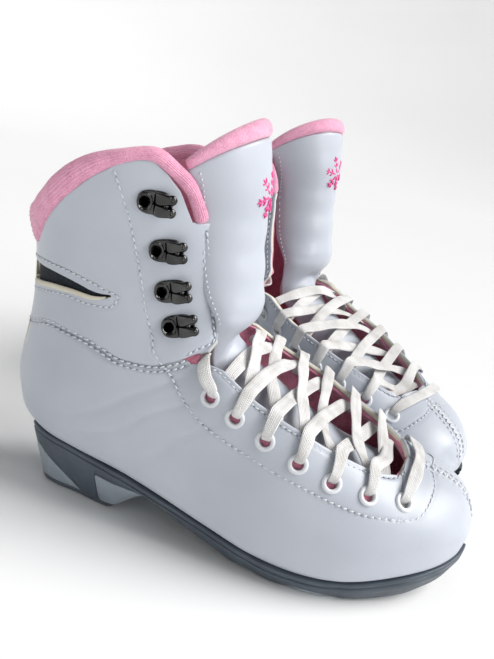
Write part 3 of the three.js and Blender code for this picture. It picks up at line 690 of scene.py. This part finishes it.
def body_relief(t, angle, side):
    """Soft creases over the ankle and a slightly uneven toe."""
    crease = 0.0
    creases = [(10.2, 0.035, 0.45, 0.16), (11.15, 0.03, 0.5, 0.2), (9.2, 0.03, 0.3, 0.14)]
    for station, tilt, depth, width in creases:
        shift = station - tilt * (angle - 10)
        crease = crease - depth * np.exp(-((t - shift) / width) ** 2) * smooth(-40, -5, angle) * (
            1 - smooth(18, 34, angle))
    uneven = 0.25 * np.sin(t * 2.1 + angle * 0.05 + side) + 0.2 * np.sin(t * 1.3 - angle * 0.11)
    return crease + uneven


def quarter_top(t):
    return np.where(t < 3.7, 89.9, np.where(t < 10.9, along(FACING_EDGE, t), along(CUFF_SEAM, t)))


def seam_places(side):
    seams = [(CUFF_STITCH, 1.2), (CUFF_STITCH, 3.4), (SHAFT_STITCH, 0), (FACING_STITCH, 0), (FLAP_STITCH, 0),
             (SLIT_STITCH, 0)]
    return [seam_line(seam, side, 0, offset)[0] for seam, offset in seams]


def eyelet_place(index):
    share = index / (EYELETS_PER_ROW - 1)
    return 9.4 - 5.45 * share, 32 + 12 * share ** 1.3


def quarter(side):
    """The lower leather of one side, from the sole up to the facing edge and the cuff seam."""
    count_t, count_v = ((210, 100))
    throat_rows = [3.72, 3.8, 3.88, 3.95, 3.98, 4.01, 4.04, 4.07, 4.1, 10.86, 10.9, 10.94]
    even_rows = np.linspace(1.5, 16.66, count_t)
    ts = np.unique(np.concatenate([np.linspace(0.02, 1.5, 18), even_rows, throat_rows]))
    t, v = np.meshgrid(ts, spaced(count_v, 110), indexing="ij")
    bottom = np.maximum(sole_angle(ts)[:, None] - 1.5 * (ts[:, None] < 12), -89.9)
    angle = bottom + (quarter_top(t) - bottom) * v
    grid = on_boot(t, angle, side, 0)
    relief = groove(grid, seam_places(side)) + body_relief(t, angle, side) * smooth(0, 1.2, t)
    to_seam = (along(CUFF_SEAM, t) - angle) * smooth(10.9, 11.6, t)
    relief = relief - 0.9 * (1 - smooth(0, 6, to_seam)) * smooth(11.0, 11.8, t)
    thick = 2.2 + 1.2 * smooth(0.8, 1, v) * smooth(3.9, 4.2, t) * (1 - smooth(10, 10.9, t))
    shape = shell(grid, thick, outward(t, angle, side), 0.9, relief=relief, rounded=(0, 1, 0, 1))
    drill = [(0.01, -6.5), (EYELET_BORE, -6.5), (EYELET_BORE, 3), (0.01, 3)]
    return cut(shape, joined([lathe(drill, *eyelet_place(i), side, 26) for i in range(EYELETS_PER_ROW)]))


def stand_on(points, t, angle, side, height):
    """Turns points drawn around +Z, with +X to the front edge, so that they stand on the leather."""
    up = outward(np.float64(t), np.float64(angle), np.float64(side))
    forward = skin(t, angle + 2, side) - skin(t, angle - 2, side)
    forward = unit(forward - up * np.dot(forward, up))
    across = np.cross(up, forward)
    base = on_boot(t, angle, side, height)
    return base + points[..., :1] * forward + points[..., 1:2] * across + points[..., 2:3] * up


def lathe(profile, t, angle, side, sides, height=0.0, closed=False):
    turns = circle(sides)
    rings = [np.stack([r * np.cos(turns), r * np.sin(turns), np.full(sides, z)], -1) for r, z in profile]
    return tube([stand_on(ring, t, angle, side, height) for ring in rings], closed)


def eyelets(side):
    ring = [(2.7, -3.4), (2.75, 0.2), (3.0, 0.75), (3.5, 0.98), (4.2, 0.92), (4.75, 0.6), (4.95, 0.1),
            (4.9, -0.5), (3.25, -0.6), (3.2, -3.4)]
    places = [eyelet_place(i) for i in range(EYELETS_PER_ROW)]
    return joined([lathe(ring, *place, side, 40, 0.15, closed=True) for place in places])


def cuff_place(u, v, side):
    nominal = -89.8 + u * (55.5 + 89.8)
    low_t = along(CUFF_BOTTOM, nominal) - 0.11 * (1 - smooth(28, 40, nominal))
    t = low_t + (collar_line(nominal, side) + 0.08 - low_t) * v
    angle = nominal + (along(FLAP_EDGE, t) - 55.5) * smooth(20, 55, nominal)
    return t, angle


def cuff(side):
    count_u, count_v = ((130, 80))
    u, v = np.meshgrid(spaced(count_u, 130), spaced(count_v, 60), indexing="ij")
    t, angle = cuff_place(u, v, side)
    grid = on_boot(t, angle, side, 0.35 * (1 - smooth(0.0, 0.2, v)))
    relief = groove(grid, seam_places(side)) + 0.15 * np.sin(t * 1.7 + angle * 0.04)
    shape = shell(grid, 2.2, outward(t, angle, side), 0.9, relief=relief)
    turns = circle(16)
    rings = []
    for share in np.linspace(0, 1, 60):
        angle, middle = slit_place(share)
        rings.append(on_boot(middle + slit_half(share) * np.cos(turns), angle, side, 0.6 + 5 * np.sin(turns)))
    return cut(shape, tube(rings, finish=1))


def slit_place(share):
    """Angle and station of the middle of the ankle slit, from its back end to its front tip."""
    angle = SLIT_BACK + (SLIT_FRONT - SLIT_BACK) * share
    return angle, softly(SLIT_MIDDLE, angle, 12)


def slit_half(share):
    return 0.37 * np.maximum(1 - share, 0) ** 0.55 * np.minimum(1, 0.55 + share * 12) + 0.03


def slit_shade_sheet(side):
    """A near-black sheet painted as the shade inside the ankle slit, under a cream raw edge along its lower
    lip.
    """
    share, v = np.meshgrid(np.linspace(0, 0.99, 60), np.linspace(-1, 1, 12), indexing="ij")
    angle, middle = slit_place(share)
    grid = on_boot(middle + v * (slit_half(share) + 0.12), angle, side, -1.95)
    return shell(grid, 0.25, outward(middle, angle, side), 0.2)


def slit_lip(side):
    rings = []
    turns = circle(14)
    for share in np.linspace(0.03, 0.97, 70):
        angle, middle = slit_place(share)
        end = math.sqrt(max(1 - abs(2 * share - 1) ** 10, 0.03))
        station = middle - slit_half(share) * 0.86
        height = -0.6 + 0.9 * end * np.sin(turns)
        rings.append(on_boot(station + 0.09 * end * np.cos(turns), angle, side, height))
    return tube(rings)


def lining(side):
    """Foam and brushed cloth, close behind the leather."""
    u = np.concatenate([np.linspace(1, 12, 70), np.linspace(12.1, 20.3, 60)])
    t, v = np.meshgrid(u, spaced(44, 110, 1.2), indexing="ij")
    bottom = sole_angle(u)[:, None]
    top = np.where(t < 3.7, 89.8, along(FACING_EDGE, t) - 1.2)
    top = top + (along(FLAP_EDGE, t) - 1.2 - top) * smooth(10.7, 11.3, t)
    angle = bottom + (top - bottom) * v
    limit = np.minimum(collar_line(angle, side), collar_line(angle + 4, side)) + 0.05
    station = np.where(t < 15, t, 15 + (t - 15) * (limit - 15) / 5.3)
    grid = on_boot(station, angle, side, -2.25)
    return shell(grid, 3.1, outward(station, angle, side), 1.2, rounded=(1, 1, 0, 1)).painted(0)


def collar(side):
    """Ribbed terry roll around the top, as in a padded collar."""
    around, lengthwise = ((168, 170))
    ribs = 28
    turns = circle(around)
    band = smooth_line(COLLAR_BAND, 24)
    lengths = arc_lengths(on_boot(band[:, 0], band[:, 1], side, 0), 0)
    at = spaced(lengthwise, lengths[-1], 2.6) * lengths[-1]
    band = np.stack([np.interp(at, lengths, band[:, k]) for k in range(4)], -1)
    from_end = lengths[-1] - at
    rings = []
    for k, (low_t, low_angle, top_t, top_angle) in enumerate(band):
        end = math.sqrt(max(1 - (1 - min(from_end[k] / 2.6, 1)) ** 2, 0.02))
        rib = 1 + 0.035 * np.cos(turns * ribs) + 0.012 * np.sin(at[k] * 4.1 + turns * 3)
        across = np.sign(np.sin(turns)) * np.abs(np.sin(turns)) ** 0.85 * rib * end
        station = lower_on_medial((low_t + top_t) / 2, low_angle, side) + (top_t - low_t) / 2 * across
        angle = (low_angle + top_angle) / 2 + (top_angle - low_angle) / 2 * across
        height = -2.9 + (4.0 * np.cos(turns) * rib + 0.2 * np.sin(at[k] * 0.4)) * end
        rings.append(on_boot(station, angle, side, height))
    return tube(rings)


def backstay():
    """The narrow cream strip over the back seam."""
    ts = np.linspace(12.6, 18.7, 60)
    across = spaced(10, 12, 0.7) * 2 - 1
    t, v = np.meshgrid(ts, across, indexing="ij")
    grid = on_boot(t, -90 + 11.5 * np.abs(v), np.where(v < 0, -1.0, 1.0), 0.95)
    return shell(grid, 1.1, np.array([-1.0, 0, 0]), 0.7).painted(0)


def stitching(side):
    shapes = stitch_row(CUFF_STITCH, side, 0.3, 1.2)
    shapes += stitch_row(CUFF_STITCH, side, 0.2, 3.4)
    shapes += stitch_row(SHAFT_STITCH, side)
    shapes += stitch_row(FACING_STITCH, side, pitch=3.0, length=2.0, radius=0.36)
    shapes += stitch_row(FLAP_STITCH, side, 0.4, pitch=3.2, length=2.2)
    shapes += stitch_row(SLIT_STITCH, side, pitch=3.0, length=2.1)
    return joined(shapes)


def toe_seam():
    """Heavy zigzag down the toe, with bar tacks at the throat."""
    stations = np.linspace(3.35, 0.35, 200)
    line = on_boot(stations, 90, 1, 0.15)
    up = outward(stations, np.full(200, 90.0), np.ones(200))
    at, ahead, normal = evenly(line, up, 1.75)
    side = np.cross(normal, ahead)
    corners = at + side * np.where(np.arange(len(at)) % 2 == 0, 1, -1)[:, None] * 2.2
    shapes = capsules(corners[:-1], corners[1:], normal[:-1], 0.68, 8)
    for sign in (-1, 1):
        beside = (at + side * sign * 4.6)[:-1:2]
        shapes += capsules(beside - ahead[:-1:2] * 1.1, beside + ahead[:-1:2] * 1.1, normal[:-1:2], 0.4)
    sideways = np.array([0, 1.6, 0])
    for t in (3.62, 3.52, 3.42):
        for bar_side in (-1, 1):
            centre = on_boot(t, 87.5, bar_side, 0.2)
            top = outward(np.float64(t), np.float64(87.5), np.float64(bar_side))
            shapes += capsules([centre - sideways], [centre + sideways], [top], 0.5)
    return joined(shapes)


# Sole

SOLE_WALL_OUTSET = 2.15
SOLE_WALL_DEPTH = 3.9


def plan_point(t, outset):
    def edge(s):
        point = skin(s, sole_angle(s), 1)
        return np.stack([point[..., 0], point[..., 1] - section(s)[..., 8]], -1)

    tangent = edge(t + 0.04) - edge(t - 0.04)
    normal = unit(np.stack([tangent[..., 1], -tangent[..., 0]], -1))
    return edge(t) + normal * np.broadcast_to(outset, t.shape)[..., None]


def sole_rings(stations, levels):
    halves = []
    for outset, height in levels:
        plan = plan_point(stations, outset(stations) if callable(outset) else outset)
        halves.append(np.stack([plan[:, 0], np.maximum(plan[:, 1], 0.35), height(plan[:, 0])], -1))
    half = np.stack(halves, 1)
    bend = section(stations)[:, None, 8:] * [0, 1, 0]
    return np.concatenate([half + bend, (half * [1, -1, 1] + bend)[:, ::-1]], 1)


def sole_top(x):
    return softly(SOLE_TOP, x, 6)


def sole_bottom(x):
    return softly(SOLE_BOTTOM, x, 1.6)


def bottom_inset(t):
    return softly([[1.3, -2], [8.5, -2], [9.6, -6], [11, -7], [12, -6], [12.3, -5]], t, 0.25)


def whole_sole():
    stations = np.concatenate([np.linspace(1.35, 1.7, 12), np.linspace(1.75, 11.9, 120),
                               np.linspace(11.93, 12.3, 14)])
    # outset and depth of the top edge, the welt lip and the groove below it
    edge = [(-2.5, 0), (1.9, 0), (2.35, 0.35), (2.5, 1.0), (2.45, 1.8), (2.1, 2.3), (1.35, 2.6), (1.35, 3.1),
            (1.9, 3.4), (SOLE_WALL_OUTSET, SOLE_WALL_DEPTH)]
    levels = [(outset, lambda x, depth=depth: sole_top(x) - depth) for outset, depth in edge]
    for share in (0.3, 0.6, 0.85):
        levels.append((
            lambda t, share=share: SOLE_WALL_OUTSET + (bottom_inset(t) - SOLE_WALL_OUTSET) * share,
            lambda x, share=share: (sole_top(x) - SOLE_WALL_DEPTH) * (1 - share) + sole_bottom(x) * share))
    for inset, lift in ((-0.1, 0.9), (0.3, 0.25), (1.0, 0)):
        levels.append((lambda t, inset=inset: bottom_inset(t) - inset,
                       lambda x, lift=lift: sole_bottom(x) + lift))
    return tube(sole_rings(stations, levels))


HEEL_REAR_WINDOW = [(2, 26), (16, 26), (45, 3.5), (2, 3.5)]
HEEL_FRONT_WINDOW = [(54, 22), (80, 20), (98, 9), (72, 3.5), (56, 3.5)]
BALL_WINDOW = [(159, -2), (164, 1.4), (172, 2.8), (180, 2.8), (188, 1.4), (193, -2)]


def cross_prism(outline, shrink, rounding=2.2):
    """A prism right across the boot over an [x, z] outline with rounded corners."""
    outline = np.array(outline, float)
    centre = outline.mean(axis=0)
    away = outline - centre
    reach = np.linalg.norm(away, axis=1, keepdims=True)
    corners = centre + away * (reach - shrink) / reach
    points = []
    for i, corner in enumerate(corners):
        before, after = corners[i - 1] - corner, corners[(i + 1) % len(corners)] - corner
        start = corner + unit(before) * min(rounding, np.linalg.norm(before) / 3)
        end = corner + unit(after) * min(rounding, np.linalg.norm(after) / 3)
        for s in np.linspace(0, 1, 6):
            points.append((1 - s) ** 2 * start + 2 * s * (1 - s) * corner + s * s * end)
    points = np.array(points)
    rings = [np.stack([points[:, 0], np.full(len(points), y), points[:, 1]], -1) for y in (-70, 70)]
    return tube(rings)


# Hooks

def hook(index, side):
    """A riveted plate with two bent prongs whose ends are rounded beads."""
    share = index / (HOOKS_PER_ROW - 1)
    shapes = [hook_plate(), dish(-3.6, 0, 1.0, 3.5, 4.3), bead(5.6, 0, 3.6, 1.2, 1.3)]
    for offset in (-2.75, 2.75):
        shapes += [hook_prong(offset), bead(8.0, offset * 1.05, 3.9, 2.35, 1.6)]
    whole = joined(shapes)
    cos, sin = math.cos(math.radians(HOOK_TILT)), math.sin(math.radians(HOOK_TILT)) * side
    x, y, z = whole.points.T
    turned = np.stack([x * cos - y * sin, x * sin + y * cos, z], -1)
    whole.points = stand_on(turned, 19.2 - 5.85 * share, 21.5 + 12.5 * share, side, 0.15)
    return whole


def squared(turns, power):
    """Cosine and sine for a circle pushed out towards a square."""
    cos, sin = np.cos(turns), np.sin(turns)
    return np.sign(cos) * np.abs(cos) ** power, np.sign(sin) * np.abs(sin) ** power


def hook_plate():
    x, y = squared(circle(48), 0.74)
    levels = [(0.95, 0.0), (1.0, 0.3), (1.0, 0.95), (0.975, 1.3), (0.93, 1.45), (0.6, 1.45)]
    return tube([np.stack([0.8 + 7.9 * x * scale, 5.5 * y * scale, np.full(48, z)], -1)
                 for scale, z in levels])


def dish(x, y, z, reach_x, reach_y):
    """An oval boss with a raised rim around a flat, slightly hollow face."""
    turns = circle(44)
    profile = [(1.0, 0.0), (1.02, 0.5), (0.97, 0.95), (0.9, 1.08), (0.83, 0.95), (0.78, 0.72), (0.6, 0.66)]
    return tube([np.stack([x + reach_x * r * np.cos(turns), y + reach_y * r * np.sin(turns),
                           np.full(44, z + h)], -1) for r, h in profile])


def bead(x, y, z, radius, height):
    """A rounded blob, wider than it is high."""
    turns = circle(26)
    rings = []
    for rise in np.linspace(-1.45, 1.45, 13):
        reach = radius * math.cos(rise)
        rings.append(np.stack([x + reach * np.cos(turns), y + reach * np.sin(turns),
                               np.full(26, z + height * math.sin(rise))], -1))
    return tube(rings)


def hook_prong(offset):
    bend = [(-0.2, 1.0), (0.9, 1.9), (1.7, 3.1), (2.9, 4.0), (4.6, 4.35), (6.0, 4.3), (7.2, 4.1), (8.0, 3.9)]
    path = smooth_line([(x, 0, z) for x, z in bend], 5)
    sideways = np.array([0, 1.0, 0])
    top = np.cross(unit(np.gradient(path, axis=0)), sideways)
    cos, sin = squared(circle(24), 0.72)
    lengths = arc_lengths(path, 0)
    towards_tip = smooth(0.5, 0.9, lengths / lengths[-1])
    wide, thick = 2.62 - 0.5 * towards_tip, 0.85 + 0.45 * towards_tip
    middle = path + (offset * (1 + 0.08 * smooth(3, 9, path[:, 0])))[:, None] * sideways
    return tube(middle[:, None] + (wide[:, None] * cos)[..., None] * sideways
                + (thick[:, None] * sin)[..., None] * top[:, None])


# Tongue

TONGUE_SPINE = [(115, 111), (120.5, 119), (120, 130), (118, 142), (115.5, 160), (115, 176), (112.5, 194),
                (108.5, 212)]


def tongue_point(s, v):
    """The upper tongue wraps the shin: v runs from one edge (-1) round the front (0) to the other (1)."""
    spine = smooth_line(TONGUE_SPINE, 40)
    place = np.clip(s, 0, 1) * (len(spine) - 1)
    x, z = (np.interp(place, np.arange(len(spine)), spine[:, k]) for k in (0, 1))
    width = softly([[0, 22.5], [0.3, 23], [0.6, 22.5], [0.75, 23.5], [0.86, 26.5], [1, 31]], s, 0.06)
    bow = softly([[0, 10], [0.12, 16], [0.3, 25], [0.62, 29], [0.84, 28], [1, 28]], s, 0.06)
    drop = along([[0, 0], [0.6, 0], [1, 22]], s)
    turn = v * math.pi / 2
    return np.stack([x - bow * (1 - np.cos(turn)), width * np.sin(turn), z - drop * v * v], -1)


def tongue_rows(count, first=4.3, last=0.935):
    """The tongue's outside, from under the lacing to its free top, as rows of points."""
    v = spaced(34, 50, 1.4) * 2 - 1
    rows = []
    for t in np.linspace(first, 10.0, 9):
        reach = along([[4.3, 34], [8, 44], [10.5, 46]], t)
        depth = along([[4.3, 10], [5.5, 12], [8.5, 12], [10, 8.7]], t)
        rows.append(on_boot(t, 90 - reach * np.abs(v), np.where(v < 0, -1.0, 1.0), -depth, opened=False))
    for s in np.concatenate([[0.10, 0.2], np.linspace(0.3, last, 9)]):
        rows.append(tongue_point(np.full(len(v), s), v))
    rows = np.array(rows)
    flat = smooth_line(rows.reshape(len(rows), -1), 12)
    grid = flat.reshape(len(flat), len(v), 3)
    lengths = arc_lengths(grid.mean(axis=1), 0)
    at = spaced(count, lengths[-1], 1.4) * lengths[-1]
    place = np.interp(at, lengths, np.arange(len(lengths)))
    i = np.clip(place.astype(int), 0, len(grid) - 2)
    share = (place - i)[:, None, None]
    return grid[i] * (1 - share) + grid[i + 1] * share, v


def tongue_leather():
    grid, v = tongue_rows(150)
    along_tongue = arc_lengths(grid.mean(axis=1), 0)[:, None]
    ripple = 0.35 * np.sin(along_tongue * 0.35 + 2 * v ** 2) * (1 - v ** 2)
    return shell(grid, 4.2, np.array([1.0, 0, 0]), 1.4, relief=ripple, bulge=0.8)


def tongue_trim():
    turns = circle(72)
    rings = []
    for v in np.linspace(-1.0, 1.0, 110):
        end = min(1.0, math.sqrt(max(1 - abs(v) ** 18, 0.02)))
        s = 0.966 + 0.032 * np.sin(turns) * (1 + 0.02 * np.sin(turns * 20))
        point = tongue_point(s, np.full(72, v))
        depth = (2.1 + 3.2 * np.cos(turns) * end) * (1 + 0.02 * np.sin(turns * 20))
        inward = unit(np.array([-math.cos(v * math.pi / 2), -math.sin(v * math.pi / 2), 0]))
        rings.append(point + inward * depth[:, None])
    return tube(rings)


def on_tongue(s, v, height):
    turn = v * math.pi / 2
    out = unit(np.stack([np.cos(turn) / 28, np.sin(turn) / 20, 0 * turn], -1))
    return tongue_point(s, v) + out * height, out


def tongue_threads(s, v, radius, height=1.0):
    """Short threads over the tongue between neighbouring places."""
    points, out = on_tongue(np.asarray(s, float), np.asarray(v, float), height)
    return capsules(points[:-1], points[1:], out[:-1], radius)


def tongue_stitching():
    """A row of stitches inside each long edge of the free half."""
    shapes = []
    s = np.linspace(0.12, 0.9, 52)
    for edge in (-0.9, 0.9):
        for k in range(0, 51, 2):
            shapes += tongue_threads(s[k:k + 2], [edge, edge], 0.42, 0.7)
    return joined(shapes)


def snow_flower():
    """An embroidered six-armed ornament in the middle of the tongue."""
    per_mm = np.array([1 / 128, 1 / 44])
    middle = np.array([0.73, -0.05])
    paths = [[(1.2, 0), (5, 0), (8.5, 0), (12, 0)], [(5, 0), (7.5, 2.6)], [(5, 0), (7.5, -2.6)],
             [(8.5, 0), (10.8, 2.2)], [(8.5, 0), (10.8, -2.2)]]
    shapes = []
    for arm in range(6):
        turn = arm * math.pi / 3 + 0.3
        cos, sin = math.cos(turn), math.sin(turn)
        for path in paths:
            places = middle + np.array(path) @ [[cos, sin], [-sin, cos]] * per_mm
            shapes += tongue_threads(places[:, 0], places[:, 1], 0.5, 1.05)
    return joined(shapes)


# Laces

def eyelet_pass(index, side, outside_in):
    """Places (station, angle, height, opened, side, width) over the facing, down an eyelet and back under."""
    t, angle = eyelet_place(index)
    degree = 1 / np.linalg.norm(skin(t, angle, side) - skin(t, angle - 1, side))
    station = max(t, THROAT_END)
    edge = along(FACING_EDGE, station)
    places = [(station, edge + 2 * degree, OVER - 1), (station, edge - 1, OVER + 0.2),
              (t, angle + 4.8 * degree, OVER + 0.8), (t, angle + degree, 1.8),
              (t, angle + degree, -FACING_THICKNESS - 1), (t, angle + 4.8 * degree, UNDER - 0.6),
              (station - 0.05, edge + 1, UNDER - 0.2)]
    widths = [7.0, 6.8, 5.4, 4.4, 4.4, 5.4, 6.8]
    pass_points = [(*place, 1, side, width) for place, width in zip(places, widths)]
    return pass_points if outside_in else pass_points[::-1]


def crossing(index, first_side):
    t, _ = eyelet_place(index - 0.5)
    return (t, 89.9, -5 if first_side > 0 else -8.2, 0, 1, 7.2)


def half_lace(first_side):
    last = EYELETS_PER_ROW - 1
    points = [(3.8, 66, OVER + 0.3, 1, first_side, 6.6), *eyelet_pass(last, first_side, True)[2:],
              crossing(last, first_side)]
    side = -first_side
    for i in range(last - 1, 0, -1):
        points += [*eyelet_pass(i, side, True), crossing(i, first_side)]
        side = -side
    points += eyelet_pass(0, side, False)[:-2]
    for t, angle, height in [(9.9, 37, OVER), (10.45, 41, OVER), (10.72, 42.5, 0.4), (10.78, 43, -4),
                             (11, 41, -10.5), (12, 38, -12.5)]:
        points.append((t, angle, height, 1, side, 6.6))
    return points


def lace():
    """One flat woven lace through both rows, as a ribbon, with its centre line."""
    route = half_lace(LATERAL)[::-1] + [(3.7, 89.9, OVER + 0.3, 1, 1, 6.4)] + half_lace(MEDIAL)
    place = [on_boot(t, angle, side, height, bool(opened)) for t, angle, height, opened, side, _ in route]
    up = [outward(t, angle, float(side), bool(opened)) for t, angle, _, opened, side, _ in route]
    data = np.concatenate([place, up, [[point[-1]] for point in route]], 1)
    fine = smooth_line(data, 8)
    lengths = arc_lengths(fine[:, :3], 0)
    at = np.linspace(0, lengths[-1], 1400)
    fine = np.stack([np.interp(at, lengths, fine[:, k]) for k in range(7)], -1)
    for _ in range(16):
        fine[1:-1] = (fine[:-2] + 2 * fine[1:-1] + fine[2:]) / 4
    centre, up, width = fine[:, :3], unit(fine[:, 3:6]), fine[:, 6]
    ahead = unit(np.gradient(centre, axis=0))
    across = np.cross(ahead, up)
    for i in range(len(across)):
        if i and np.dot(across[i], across[i - 1]) < 0:
            across[i] *= -1
        if np.linalg.norm(across[i]) < 0.35 and i:
            across[i] = across[i - 1]
        across[i] = unit(across[i])
    for _ in range(200):
        across[1:-1] = unit((across[:-2] + 2 * across[1:-1] + across[2:]) / 4)
    across = unit(across - ahead * np.sum(across * ahead, -1, keepdims=True))
    roll = 0.16 * np.sin(at * 0.21) + 0.12 * np.sin(at * 0.083 + 2)
    face = np.cross(across, ahead)
    across, face = (across * np.cos(roll)[:, None] + face * np.sin(roll)[:, None],
                    face * np.cos(roll)[:, None] - across * np.sin(roll)[:, None])
    turns = circle(20)
    cos, sin = np.cos(turns), np.sin(turns)
    cup = 0.35 * (1 - (7.2 - width) / 7)
    flatness = 0.62 + 0.25 * smooth(5.6, 4.4, width)
    rings = (centre[:, None] + across[:, None] * (np.sign(cos) * np.abs(cos) ** 0.7)[None, :, None]
             * (width / 2)[:, None, None]
             + face[:, None] * ((np.sign(sin) * np.abs(sin) ** 0.8)[None] * flatness[:, None]
                                - cup[:, None] * cos[None] ** 2)[..., None])
    return tube(rings), centre


# Building

def build():
    for name, side in SIDES.items():
        put(f"{name}_quarter_leather", quarter(side), [WHITE, CREAM, GREY_INSIDE],
            replaces=[f"{name}_quarter", f"{name}_eyestay"])
        put(f"{name}_cuff_leather", cuff(side), [WHITE, CREAM, GREY_INSIDE],
            replaces=[f"{name}_cuff"])
        put(f"{name}_eyelets", eyelets(side), [ENAMEL])
        put(f"{name}_lining_cloth", lining(side), [LINING], replaces=[f"{name}_lining"])
        for pad in put(f"{name}_collar_terry", collar(side), [TERRY],
                       replaces=[f"{name}_collar_pad"]):
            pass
        # near-black sheet painted as the shade inside the ankle slit
        put(f"{name}_slit_padding", slit_shade_sheet(side), [SLIT_SHADE])
        put(f"{name}_slit_lip", slit_lip(side), [CREAM])
        put(f"{name}_stitching", stitching(side), [THREAD, HOLE_SHADE])
        for i in range(HOOKS_PER_ROW):
            put(f"{name}_lace_hook_{i + 1}", hook(i, side), [NICKEL],
                replaces=[f"{name}_hook_{i + 1}"])
    put("back_strip", backstay(), [CREAM], replaces=["backstay"])
    put("toe_seam", toe_seam(), [THREAD])

    sole = whole_sole()
    outer = sole
    for window, name in [(HEEL_REAR_WINDOW, "heel_insert_rear"), (HEEL_FRONT_WINDOW, "heel_insert_front"),
                         (BALL_WINDOW, "ball_insert")]:
        outer = cut(outer, cross_prism(window, 0))
        insert = cut(sole, cross_prism(window, 0.5), "INTERSECT")
        put(f"{name}_block", insert, [PALE], replaces=[name])
    put("sole_unit", outer, [RUBBER], replaces=["outsole"])

    hinge_below, hinge_above = (113, 0, 104), (119, 0, 124)
    for piece in put("tongue_leather", tongue_leather(), [WHITE, CREAM, LINING],
                     replaces=["tongue_lower", "tongue_upper"], blend=(hinge_below, hinge_above)):
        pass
    for piece in put("tongue_terry", tongue_trim(), [TERRY], body="tongue",
                     replaces=["tongue_trim"]):
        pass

    put("tongue_stitching", tongue_stitching(), [THREAD], body="tongue")
    put("tongue_embroidery", snow_flower(), [PINK_THREAD], body="tongue")

    ribbon, centre = lace()
    for boot, piece in zip(BOOTS, put("lace_ribbon", ribbon, [LACE], replaces=["lace"])):
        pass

    for boot in BOOTS:
        for name, material in (("insole_board", BOARD), ("footbed", FOOTBED)):
            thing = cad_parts[f"{boot}_{name}"]
            thing.data.materials.clear()
            thing.data.materials.append(material)


# Camera, floor and light

EYE = (171.76, -327.62, 229.74)
TARGET = (114.41, 8.57, 106.85)
CAMERA_ROLL = math.radians(10.27)
LENS = 51.153


def camera():
    eye, target = row_point([EYE, TARGET], "right")
    forward = unit(target - eye)
    right = unit(np.cross(forward, [0, 0, 1.0]))
    down = -np.cross(right, forward)
    cos, sin = math.cos(CAMERA_ROLL), math.sin(CAMERA_ROLL)
    data = bpy.data.cameras.new("camera")
    data.sensor_fit = "HORIZONTAL"
    data.sensor_width = 36
    data.lens = LENS
    data.clip_start = 0.01
    thing = place_object("camera", data)
    axes = np.eye(4)
    axes[:3] = np.stack([right * cos - down * sin, -right * sin - down * cos, -forward, eye], -1)
    thing.matrix_world = Matrix(axes.tolist())
    bpy.context.scene.camera = thing


def light(name, kind, place, target, power, color=(1, 1, 1)):
    data = bpy.data.lights.new(name, kind)
    data.energy = power
    data.color = color
    thing = place_object(name, data)
    thing.location = place
    thing.rotation_euler = (Vector(target) - Vector(place)).to_track_quat("-Z", "Y").to_euler()
    return data


def lights():
    """A broad sun from the toe side, with two small lamps for the throat and for sparkle on the hooks."""
    light("key", "SUN", (1.0, 0.16, 0.95), (0, 0, 0), 3.7, (1.0, 0.985, 0.96)).angle = math.radians(42)
    light("throat", "AREA", (0.95, -0.42, 0.42), (0.02, 0, 0.14), 2.4).size = 0.35
    light("sparkle", "AREA", (0.45, -0.70, 0.60), (0.02, 0, 0.12), 0.35).size = 0.10
    for name in ("throat", "sparkle"):
        bpy.data.lights[name].shape = "DISK"
    world = bpy.data.worlds.new("studio")
    world.use_nodes = True
    sky = world.node_tree.nodes["Background"]
    sky.inputs["Color"].default_value = (0.90, 0.95, 1.0, 1)
    sky.inputs["Strength"].default_value = 0.19
    bpy.context.scene.world = world
    bpy.context.scene.view_settings.view_transform = "Standard"


FLOOR_FLAT = 1.4
FLOOR_CURVE = 1.5
FLOOR_DROP = 0.0006
FLOOR_SIDES = 72


def floor():
    """A pale floor that slopes up all round at a distance."""
    curve = [(FLOOR_FLAT + FLOOR_CURVE * math.sin(a), FLOOR_CURVE * (1 - math.cos(a)))
             for a in np.linspace(0.05, 0.5, 10)]
    turns = circle(FLOOR_SIDES)
    rings = [np.stack([r * np.cos(turns), r * np.sin(turns), np.full(FLOOR_SIDES, h - FLOOR_DROP)], -1)
             for r, h in [(FLOOR_FLAT, 0.0), *curve, (9.0, 4.0)]]
    quads, _ = grid_faces(len(rings), FLOOR_SIDES, wrap=True)
    middle = len(rings) * FLOOR_SIDES
    faces = [[middle, j, (j + 1) % FLOOR_SIDES] for j in range(FLOOR_SIDES)] + quads.tolist()
    data = Shape(np.vstack([*rings, [[0, 0, -FLOOR_DROP]]]), faces).mesh("floor")
    material, tree, shader = new_material("floor", (0.86, 0.86, 0.865), 0.8)
    tree.links.new(ramp(tree, noise(tree, 2, 2), [(0.3, (0.85, 0.855, 0.86)), (0.7, (0.87, 0.875, 0.88))]),
                   shader.inputs["Base Color"])
    data.materials.append(material)
    place_object("floor", data)


build()
camera()
floor()
lights()
